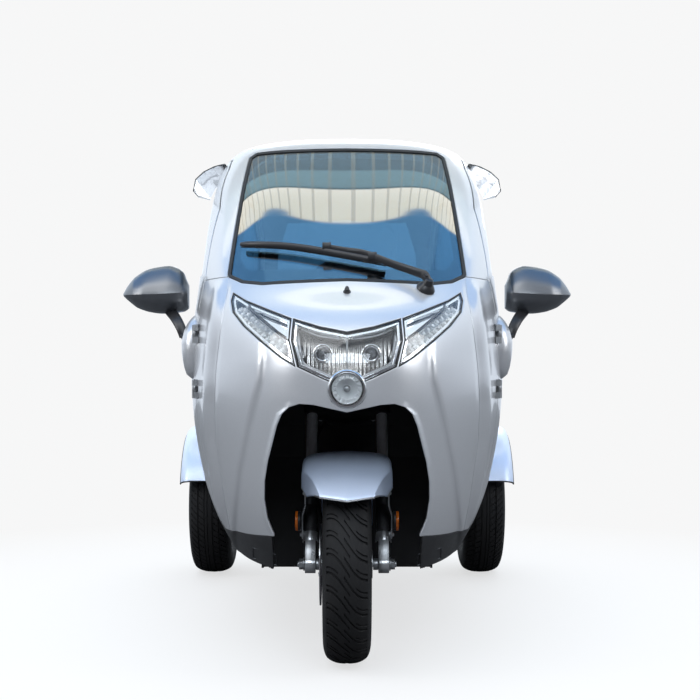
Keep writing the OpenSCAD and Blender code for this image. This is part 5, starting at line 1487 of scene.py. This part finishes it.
def visor_piece(side, tag):
    rows = []
    for y in np.linspace(-322, 188, 52):
        low = float(np.interp(y, [-330, -180, 190], [1262, 1262, 1300]))
        high = float(np.interp(y, [-330, -120, 190], [1262, 1374, 1374]))
        high = max(high, low + 3)
        line = [(float(np.interp(z, VISOR_X[:, 1], VISOR_X[:, 0])), z) for z in np.linspace(low, high, 14)]
        rows.append([(side * x, y, z) for x, z in line] + [(side * (x - 2.6), y, z) for x, z in line[::-1]])
    Shape().net(rows).build(f"door_visor_{tag}", "visor_glass", f"{tag}_door", slot="tinted_glass", bevel=0.4)


def hinge_pieces():
    for side, tag in ((1, "left"), (-1, "right")):
        leaf = Shape(IDENTITY if side > 0 else FLIP_X)
        for z in HINGE_ZS:
            leaf.lathe([(4.2, -8), (7.9, -8), (7.9, 8), (4.2, 8)], Matrix.Translation((416, -560, z)), 24, loop=True)
            leaf.block((402, -560, z - 7.8), (411, -516, z + 7.8))
            for y in (-540, -524):
                bolt(leaf, Matrix.Translation((411, y, z)) @ ACROSS, 3.2, 2.2)
        leaf.build(f"door_hinge_leaves_{tag}", "steel", f"{tag}_door", bevel=0.6)
    lid_leaf = Shape()
    for x in (-100, 100):
        lid_leaf.lathe([(4.2, -7.6), (7.9, -7.6), (7.9, 7.6), (4.2, 7.6)], Matrix.Translation((x, 1096, 939)) @ ACROSS, 24,
                       loop=True)
        lid_leaf.block((x - 7.4, 1060, 900), (x + 7.4, 1096, 932))
    lid_leaf.build("lid_hinge_leaves", "steel", "rear_lid", bevel=0.6)


def seat_on(vt):
    """A place on the body: local Z outward, local Y upward."""
    v, t = np.array([vt[0]]), np.array([vt[1]])
    p, n, _ = surface_frame(v, t, False)
    z = Vector(n[0])
    y = (Vector((0, 0, 1)) - z * z.z).normalized()
    x = y.cross(z)
    m = Matrix(((x.x, y.x, z.x, p[0][0]), (x.y, y.y, z.y, p[0][1]), (x.z, y.z, z.z, p[0][2]), (0, 0, 0, 1)))
    return m


def handle_pieces():
    for side, tag in ((1, "left"), (-1, "right")):
        at = seat_on(from_side([(176, 905)], side)[0])
        cup = Shape(at)
        outer, inner = round_outline(66, 21, 20), round_outline(60, 15.5, 15)
        cup.net([[(x, y, -1.0) for x, y in outer], [(x, y, 1.8) for x, y in outer], [(x, y, 2.2) for x, y in inner],
                 [(x * 0.94, y * 0.9, -3) for x, y in inner]])
        cup.build(f"door_handle_cup_{tag}", "black_plastic", f"{tag}_door", bevel=0.6)
        bar = Shape(at)
        bar.sweep(curve_through([(-52, 0, 1), (-40, 0, 7), (0, 0, 9.5), (40, 0, 7), (52, 0, 1)], 24), 8.0,
                  squash=(1.0, 0.55), n=18)
        bar.build(f"door_handle_bar_{tag}", "silver_paint", f"{tag}_door")
    at = seat_on(from_front([(0, 600)], True)[0])
    lid_handle = Shape(at)
    outer, inner = round_outline(70, 22, 20), round_outline(62, 15, 14)
    lid_handle.net([[(x, y, -1.0) for x, y in outer], [(x, y, 3) for x, y in outer], [(x, y, 3.4) for x, y in inner],
                    [(x * 0.94, y * 0.9, -2) for x, y in inner]])
    lid_handle.build("lid_handle", "black_plastic", "rear_lid", bevel=0.8)


for side, tag in ((1, "left"), (-1, "right")):
    mirror_pieces(side, tag)
    visor_piece(side, tag)
hinge_pieces()
handle_pieces()


# ---------------------------------------------------------------- wiper and washer

def on_screen(x, z, ahead):
    vt = from_front([(x, z)])[0]
    p, n, _ = surface_frame(np.array([vt[0]]), np.array([vt[1]]), False)
    return Vector(p[0]) + Vector(n[0]) * ahead


def wiper_pieces():
    arm = Shape()
    lift = ((197, 945, 24), (186, 957, 30), (172, 966, 27), (110, 991, 25), (46, 1019, 25), (0, 1028, 24), (-58, 1041, 22))
    path = curve_through([on_screen(x, z, a) for x, z, a in lift], 40)
    width = list(np.interp(np.arange(40), [0, 5, 12, 26, 39], [9, 12.5, 11, 9, 8.5]))
    arm.sweep(path, width, squash=(0.42, 1.0), n=16)
    bolt(arm, Matrix.Translation(on_screen(190, 953, 32)) @ turned(x=48), 5, 4)
    for x, z in ((64, 1012), (-52, 1040)):
        c = on_screen(x, z, 26)
        arm.block((c.x - 11, c.y - 7, c.z - 9), (c.x + 11, c.y + 7, c.z + 9))
    arm.build("wiper_arm", "satin_black", replaces=["wiper"], bevel=1.0)
    blade = Shape()
    stops = curve_through([(99, 1002), (-25, 1027), (-150, 1050), (-274, 1063)], 60)
    path = [on_screen(x, z, 17) for x, z in stops]
    blade.sweep(path, list(np.interp(np.arange(60), [0, 3, 30, 56, 59], [5, 8, 9.5, 8, 5])), squash=(0.55, 1.0), n=14)
    blade.build("wiper_blade", "satin_black", bevel=0.5)
    rubber = Shape()
    rubber.sweep([on_screen(x, z, 6.5) for x, z in stops], 3.0, squash=(2.0, 0.6), n=8)
    for k in (8, 30, 52):
        c = on_screen(*stops[k], 12)
        rubber.block((c.x - 7, c.y - 5, c.z - 6), (c.x + 7, c.y + 5, c.z + 6))
    rubber.build("wiper_rubber", "rubber_seal")
    vt = from_front([(197, 945)])[0]
    base = Shape(seat_on(vt))
    base.lathe([(24, 0), (24, 3), (21, 8), (17, 14), (14, 17), (12, 26), (10, 31), (0.4, 32)], n=40)
    base.build("wiper_base", "satin_black", bevel=0.6)
    nozzle = Shape(seat_on(from_front([(0, 935)])[0]))
    nozzle.lathe([(9.5, -1), (9.5, 2), (7.5, 5)], n=28)
    nozzle.sweep([(0, -3, 4), (0, 1, 8), (0, 9, 9)], [6.5, 6.2, 4.2], n=18)
    nozzle.build("washer_nozzle", "satin_black", bevel=0.5)


wiper_pieces()

# ---------------------------------------------------------------- lamps

# Local Z forward, and local Z rearward.
AHEAD = Matrix(((1, 0, 0, 0), (0, 0, -1, 0), (0, 1, 0, 0), (0, 0, 0, 1)))
BEHIND = Matrix(((-1, 0, 0, 0), (0, 0, 1, 0), (0, 1, 0, 0), (0, 0, 0, 1)))


def lamp_pieces():
    bowls, lenses = Shape(), Shape()
    for side in (1, -1):
        face = on_screen(57, 781, 0).y
        at = Matrix.Translation((side * 57, face + 8, 781)) @ AHEAD
        bowls.lathe([(16, -38), (18.5, -34), (18.5, -8), (17.2, -5.5), (15, -6.5), (14, -12), (13, -20), (13, -30)],
                    at, 48, loop=True)
        bowls.lathe([(21.5, -36), (22.6, -36), (22.6, -20), (21.5, -19)], at, 48, loop=True)
        lenses.lathe([(12.7, -26), (12.7, -20), (11.4, -14), (8.8, -10.5), (4.8, -8.4), (0.4, -7.8)], at, 40)
    bowls.build("headlamp_projectors", "lamp_chrome")
    lenses.build("headlamp_projector_lenses", "projector_glass", slot="clear_lens")
    frames = Shape()
    for side in (1, -1):
        path = [on_screen(side * x, z, -20) for x, z in ((30, 724), (62, 738), (110, 762), (119, 800), (124, 850))]
        frames.sweep(curve_through(path, 24), 3.0, n=8)
        path = [on_screen(side * x, z, -17) for x, z in ((16, 826), (70, 834), (112, 850))]
        frames.sweep(curve_through(path, 14), 4.2, squash=(1, 0.5), n=8)
    frames.sweep([on_screen(0, z, -14) for z in (722, 760, 800, 830)], 1.6, n=8)
    frames.build("headlamp_inner_frames", "lamp_grey", slot="lamp_chrome")
    slots_ = Shape()
    for side in (1, -1):
        a, b = on_screen(side * 96, 846, -9), on_screen(side * 122, 856, -9)
        slots_.sweep([a, (a + b) / 2, b], 4.0, squash=(1, 0.6), n=10)
    slots_.build("headlamp_slots", "satin_black")
    leds, base = Shape(), Shape()
    rows = ([(282, 908), (274, 887), (248, 860), (203, 821), (158, 787)],
            [(266, 908), (257, 890), (232, 869), (188, 834), (147, 801)])
    for r, line in enumerate(rows):
        smooth = curve_through(line, 200)
        length = np.concatenate([[0], np.cumsum(np.linalg.norm(np.diff(smooth, axis=0), axis=1))])
        for k in range(int(length[-1] / 16)):
            x, z = (float(np.interp(8 + 16 * k, length, smooth[:, i])) for i in (0, 1))
            for side in (1, -1):
                at = seat_on(from_front([(side * x, z)])[0]) @ turned((0, 0, -13), z=side * -42)
                leds.lathe([(5.6, -4), (5.6, -0.6), (4.2, 1.2), (0.3, 2.4)], at, 12)
                base.net([[(a * w, b * w, h) for a, b in ((-1, -1), (1, -1), (1, 1), (-1, 1))]
                          for w, h in ((7.4, -12), (7.4, -2.5), (6.4, -1.8), (6.2, -4))], where=at)
    leds.build("side_lamp_leds", "white_led", bevel=0.3, slot="lamp_chrome")
    base.build("side_lamp_led_cells", "white_led", slot="lamp_chrome")
    dark = Shape()
    for side in (1, -1):
        path = [on_screen(side * x, z, -8) for x, z in ((247, 914), (238, 893), (214, 872), (172, 838), (130, 808))]
        dark.sweep(curve_through(path, 36), 5.0, squash=(1.0, 0.55), n=10)
        path = [on_screen(side * x, z, -14) for x, z in ((150, 866), (196, 884), (238, 902))]
        dark.sweep(curve_through(path, 16), 2.2, n=8)
    dark.build("side_lamp_dividers", "satin_black")
    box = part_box("nose_lamp")
    front = box[0].y / MM
    at = Matrix.Translation((0, front, 699)) @ AHEAD
    ring_ = Shape(at)
    ring_.lathe([(45.8, -58), (45.8, -11), (45, -8), (42.5, -5.6), (39, -6), (37.2, -9), (36.5, -16)], n=72)
    ring_.faces = [f for f in ring_.faces if len(f) == 4]
    ring_.build("nose_lamp_ring", "lamp_chrome", replaces=["nose_lamp"])
    gap = Shape(at)
    gap.lathe([(37.2, -10), (35.6, -12), (34, -13), (34, -18), (37, -18)], n=64, loop=True)
    gap.build("nose_lamp_gap", "rubber_seal")
    bowl = Shape(at)
    rows = []
    for i, (r, h) in enumerate(((34, -13), (30, -19), (24, -27), (17, -34), (10, -38), (7, -39))):
        rows.append([((r - (0.9 if k % 2 and i % 2 else 0)) * math.cos(2 * math.pi * k / 48),
                      (r - (0.9 if k % 2 and i % 2 else 0)) * math.sin(2 * math.pi * k / 48), h) for k in range(48)])
    bowl.net(rows, caps=False)
    for k in range(16):
        a = 2 * math.pi * k / 16
        facet = turned((27 * math.cos(a), 27 * math.sin(a), -20)) @ Matrix.Rotation(a, 4, "Z")
        bowl.net([[(x * w, y * w, h) for x, y in ((-4.6, -4.4), (4.6, -4.4), (4.6, 4.4), (-4.6, 4.4))]
                  for w, h in ((1, -4), (1, 0), (0.55, 2.4))], where=facet)
    bowl.build("nose_lamp_bowl", "white_led", slot="lamp_chrome", angle=12)
    bulb = Shape(at)
    bulb.lathe([(7, -38), (7.4, -30), (6.4, -25), (4, -22), (0.4, -21)], n=28)
    bulb.build("nose_lamp_bulb", "steel", bevel=0.4)
    lens = Shape(at)
    lens.lathe([(36.8, -10), (36.8, -7.4), (32, -4.4), (20, -1.6), (0.4, -0.4)], n=64)
    lens.build("nose_lamp_lens", "clear_lens")
    bolts = Shape()
    for side in (1, -1):
        for y, z in ((-546, 626), (-532.5, 607)):
            bolt(bolts, turned((side * 72, y, z), x=126), 5, 4)
    bolts.build("arch_liner_bolts", "steel")


lamp_pieces()


# ---------------------------------------------------------------- handlebar and instruments

def handlebar_pieces():
    grips, tube, boxes, levers = Shape(STEER), Shape(STEER), Shape(STEER), Shape(STEER)
    tube.lathe([(21, 761), (22, 763), (22, 798), (20, 800.5)], n=40)
    for side in (1, -1):
        at = turned((0, 0, 782.3)) @ (IDENTITY if side > 0 else FLIP_X) @ turned(z=10) @ turned(y=90)
        tube.lathe([(11, 0), (11, 196)], at, 24)
        prof = [(13, 190)]
        for k in range(22):
            z0 = 194 + 5.0 * k
            prof += [(16.4, z0), (16.4, z0 + 3.4), (15.5, z0 + 3.8), (15.5, z0 + 4.8)]
        prof += [(17, 304), (17, 309), (13, 312)]
        grips.lathe(prof, at, 32)
        boxes.lathe([(12, 138), (19, 140), (20, 144), (20, 178), (18, 184), (12, 186)], at, 28)
        boxes.block((-8, 12, 150), (10, 26, 174), at)
        for k in range(3):
            boxes.lathe([(3.2, 17), (3.2, 22.5), (2.2, 23.5), (0.3, 23.5)],
                        at @ Matrix.Translation((0, 0, 150 + 11 * k)) @ turned(y=-90), 14)
        levers.sweep(curve_through([(6, -18, 150), (4, -34, 160), (4, -42, 200), (4, -44, 250), (2, -38, 292)], 30),
                     [6.0] * 6 + [5.2] * 18 + [5.6] * 4 + [6.4, 6.0], at, squash=(1, 0.55))
        levers.block((-3, -26, 142), (9, -12, 160), at)
    tube.build("handlebar_tube", "cast_black", "steering", replaces=["handlebar"], bevel=0.6)
    grips.build("handlebar_grips", "rubber_seal", "steering", angle=50)
    boxes.build("handlebar_switches", "cabin_plastic", "steering", bevel=1.2)
    levers.build("brake_levers", "fork_alloy", "steering", bevel=0.4)
    pod = Shape(STEER @ turned((0, -8, 800.9)))
    shell = curve_through([(30, 0.3), (62, 1), (94, 21), (103.5, 40), (98, 56), (84, 66), (76, 68.5)], 40)
    pod.lathe([tuple(q) for q in shell] + [(74, 66), (72, 62)], n=72)
    pod.build("instrument_pod_shell", "cabin_plastic", "steering", replaces=["instrument_pod"], angle=50)
    dial = Shape(STEER @ turned((0, -8, 800.9)))
    dial.lathe([(73.5, 62), (73.5, 66.5), (60, 68), (30, 69.3), (0.5, 69.6)], n=64)
    dial.build("instrument_dial", "dial_glass", "steering", slot="satin_black")
    ticks = Shape(STEER @ turned((0, -8, 800.9)))
    for k in range(25):
        a = math.radians(-30 + 10 * k)
        inner = 56 if k % 3 else 50
        ticks.block((inner, -0.8, 67.2), (64, 0.8, 68.9), turned(z=math.degrees(a)))
    ticks.lathe([(67, 67.2), (69, 67.6), (71, 67.2), (69, 66.4)], n=64, loop=True)
    ticks.build("instrument_ticks", "white_led", "steering", slot="lamp_chrome")


def dash_pieces():
    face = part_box("dashboard")[1].y / MM
    vents, trim, screen_ = Shape(), Shape(), Shape()
    for x in (-265, 265):
        at = Matrix.Translation((x, face, 850)) @ BEHIND
        vents.lathe([(40, -4), (40, 3), (36, 6), (31, 5), (30, -2)], at, 48, loop=True)
        for k in range(-2, 3):
            w = math.sqrt(29 ** 2 - (k * 11) ** 2)
            vents.block((-w, k * 11 - 1.2, -1), (w, k * 11 + 1.2, 4), at)
    vents.build("dash_vents", "satin_black", bevel=0.5)
    at = Matrix.Translation((0, face, 862)) @ BEHIND
    screen_.prism(round_outline(92, 30, 9), -1, 3.5, at)
    screen_.build("dash_display", "dial_glass", bevel=0.8, slot="satin_black")
    trim.net([[(x, z, h) for x, z in round_outline(a, b, 11)] for a, b, h in
              ((99, 37, -1), (99, 37, 4.5), (93, 31, 5), (93, 31, -1))], wrap_rows=True, where=at)
    trim.prism(round_outline(120, 40, 14), -1, 2.4, Matrix.Translation((-190, face, 772)) @ BEHIND)
    trim.prism(round_outline(26, 6, 5), 2.4, 7, Matrix.Translation((-190, face, 794)) @ BEHIND)
    for k in range(4):
        trim.prism(round_outline(13, 9, 4), -1, 5, Matrix.Translation((96 + 34 * k, face, 790)) @ BEHIND)
    trim.build("dash_trim", "cabin_plastic", bevel=0.9)


handlebar_pieces()
dash_pieces()


# ---------------------------------------------------------------- seats

def puffed(name, low, high, face_axis, seams, swell=26.0):
    """A stuffed pad in the room of its solid: swelled as cloth under pressure, then sewn along seams."""
    lo, hi = np.array(low, float), np.array(high, float)
    start = Shape()
    inset = np.array([13.0, 13.0, 13.0])
    a, b = lo + inset, hi - inset
    mid, half = (a + b) / 2, (b - a) / 2
    start.block(tuple(-half), tuple(half), Matrix.Translation(mid))
    obj = start.build(name, "seat_cover", slot="seat_cover", bevel=0)
    baked(obj, ("BEVEL", {"width": 0.018, "segments": 3, "limit_method": "ANGLE"}),
          ("REMESH", {"mode": "VOXEL", "voxel_size": 0.0105}))
    n = len(obj.data.vertices)
    rest = np.zeros(n * 3)
    obj.data.vertices.foreach_get("co", rest)
    rest = rest.reshape(-1, 3)
    cloth = obj.modifiers.new("cloth", "CLOTH")
    cloth.settings.use_pressure = True
    cloth.settings.uniform_pressure_force = 4.0
    cloth.settings.effector_weights.gravity = 0.0
    cloth.collision_settings.use_collision = False
    for k in range(1, 21):
        scene.frame_set(k)
    mesh = bpy.data.meshes.new_from_object(obj.evaluated_get(bpy.context.evaluated_depsgraph_get()))
    obj.modifiers.clear()
    obj.data = mesh
    scene.frame_set(1)
    co = np.zeros(n * 3)
    obj.data.vertices.foreach_get("co", co)
    co = co.reshape(-1, 3)
    move = co - rest
    size = np.linalg.norm(move, axis=1)
    co = rest + move * np.minimum(1, swell * MM / np.maximum(size, 1e-9))[:, None]
    co = np.clip(co, lo * MM, hi * MM)
    obj.data.vertices.foreach_set("co", co.ravel())
    obj.data.update()
    baked(obj, ("SUBSURF", {"levels": 1, "render_levels": 1}))
    n = len(obj.data.vertices)
    co, no = np.zeros(n * 3), np.zeros(n * 3)
    obj.data.vertices.foreach_get("co", co)
    obj.data.vertices.foreach_get("normal", no)
    co, no = co.reshape(-1, 3), no.reshape(-1, 3)
    groove = np.zeros(n)
    for axis, at in seams:
        d = (co[:, axis] / MM - at) / 4.5
        groove = np.maximum(groove, 5.0 * np.exp(-d * d))
    facing = np.clip(no[:, face_axis[0]] * face_axis[1], 0, 1) ** 2
    co -= no * (groove * facing)[:, None] * MM
    obj.data.vertices.foreach_set("co", co.ravel())
    obj.data.polygons.foreach_set("use_smooth", [True] * len(obj.data.polygons))
    obj.data.update()
    return obj


def seat_pieces():
    seat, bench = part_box("driver_seat"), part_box("bench_seat")
    for tag, box, half, back_y, x_seams in (("driver", seat, 210, 250, (-140, -70, 0, 70, 140)),
                                            ("bench", bench, 275, 740, (-184, -92, 0, 92, 184))):
        low, high = [v / MM for v in box[0]], [v / MM for v in box[1]]
        cushion = puffed(f"{tag}_cushion", (-half, low[1], low[2]), (half, back_y - 0.4, low[2] + 90), (2, 1),
                         [(0, x) for x in x_seams[1:-1]] + [(0, -half + 34), (0, half - 34), (1, low[1] + 60)])
        back = puffed(f"{tag}_backrest", (-half, back_y, low[2]), (half, high[1], high[2]), (1, -1),
                      [(0, x) for x in x_seams[1:-1]] + [(0, -half + 34), (0, half - 34), (2, low[2] + 150),
                                                         (2, high[2] - 70)])
        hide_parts(f"{tag}_seat")


seat_pieces()


# ---------------------------------------------------------------- cabin floor, battery, drive

def small_pieces():
    mat = Shape()
    mat.prism(round_outline(296, 150, 40), 300.2, 303.5, turned((0, -270, 0)))
    for k in range(-17, 18):
        mat.prism(round_outline(3.2, 128, 3), 303.4, 305.6, turned((k * 16, -270, 0)))
    mat.build("floor_mat", "rubber_seal", bevel=0.6)
    lid_ = Shape()
    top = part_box("battery_pack")[1].z / MM
    lid_.prism(round_outline(184, 194, 12), top - 2, top + 3, turned((0, 100, 0)))
    for x in (-110, 110):
        lid_.prism(round_outline(15, 200.5, 3), top + 3, top + 5, turned((x, 100, 0)))
    lid_.sweep(curve_through([(-40, 60, top + 3), (-36, 60, top + 7), (36, 60, top + 7), (40, 60, top + 3)], 16), 3.5)
    lid_.build("battery_lid", "black_plastic", bevel=0.8)
    fins = Shape(Matrix.Translation((0, AXLE_Y, AXLE_Z)) @ ACROSS)
    for k in range(-6, 7):
        fins.lathe([(98, k * 12 - 2.6), (99.8, k * 12 - 1.4), (99.8, k * 12 + 1.4), (98, k * 12 + 2.6)], n=72, loop=True)
    for side in (1, -1):
        at = turned(y=0 if side > 0 else 180)
        fins.lathe([(60, 89), (62, 93), (46, 96), (34, 96), (33, 90)], at, 48)
        for k in range(8):
            a = 2 * math.pi * k / 8
            bolt(fins, at @ turned((84 * math.cos(a), 84 * math.sin(a), 90)), 5, 3)
    fins.build("motor_details", "cast_black", bevel=0.4)
    ties = Shape()
    for x in (228,):
        for y in (AXLE_Y - 36, AXLE_Y + 36):
            ties.sweep([(x - 26, y, 306), (x - 26, y, 240), (x - 20, y, 218), (x, y, 212), (x + 20, y, 218),
                        (x + 26, y, 240), (x + 26, y, 306)], 5.5, n=12)
        ties.block((x - 34, AXLE_Y - 48, 294.6), (x + 34, AXLE_Y + 48, 301))
        for y in (AXLE_Y - 36, AXLE_Y + 36):
            for dx in (-26, 26):
                bolt(ties, Matrix.Translation((x + dx, y, 301)), 6.5, 5)
        for y, z in ((392, 329), (853, 329)):
            ties.lathe([(13, -26), (13, 26)], Matrix.Translation((x, y, z)) @ ACROSS, 24)
    ties.both().build("spring_ties", "steel", bevel=0.7)
    skirt = Shape()
    for side in (1, -1):
        c = [on_screen(side * x, z, 0.2) for x, z in ((172, 262), (240, 262), (238, 294), (174, 292))]
        loop = [c[0], c[1], c[2], c[3], c[0]]
        pts = []
        for a, b in zip(loop[:-1], loop[1:]):
            pts += [a + (b - a) * k / 8 for k in range(8)]
        skirt.sweep(pts + [loop[0]], 0.9, n=6)
    skirt.build("skirt_cover_lines", "dial_glass", slot="black_plastic")


small_pieces()


print("triangles of the body:", len(TRIS))
KEEP = {}
for n, o in NODES.items():
    slot = o.data.materials[0].name.split(".")[0] if o.data.materials else "steel"
    o.data.materials.clear()
    o.data.materials.append(MATS.get(KEEP.get(n, slot), MATS["steel"]))
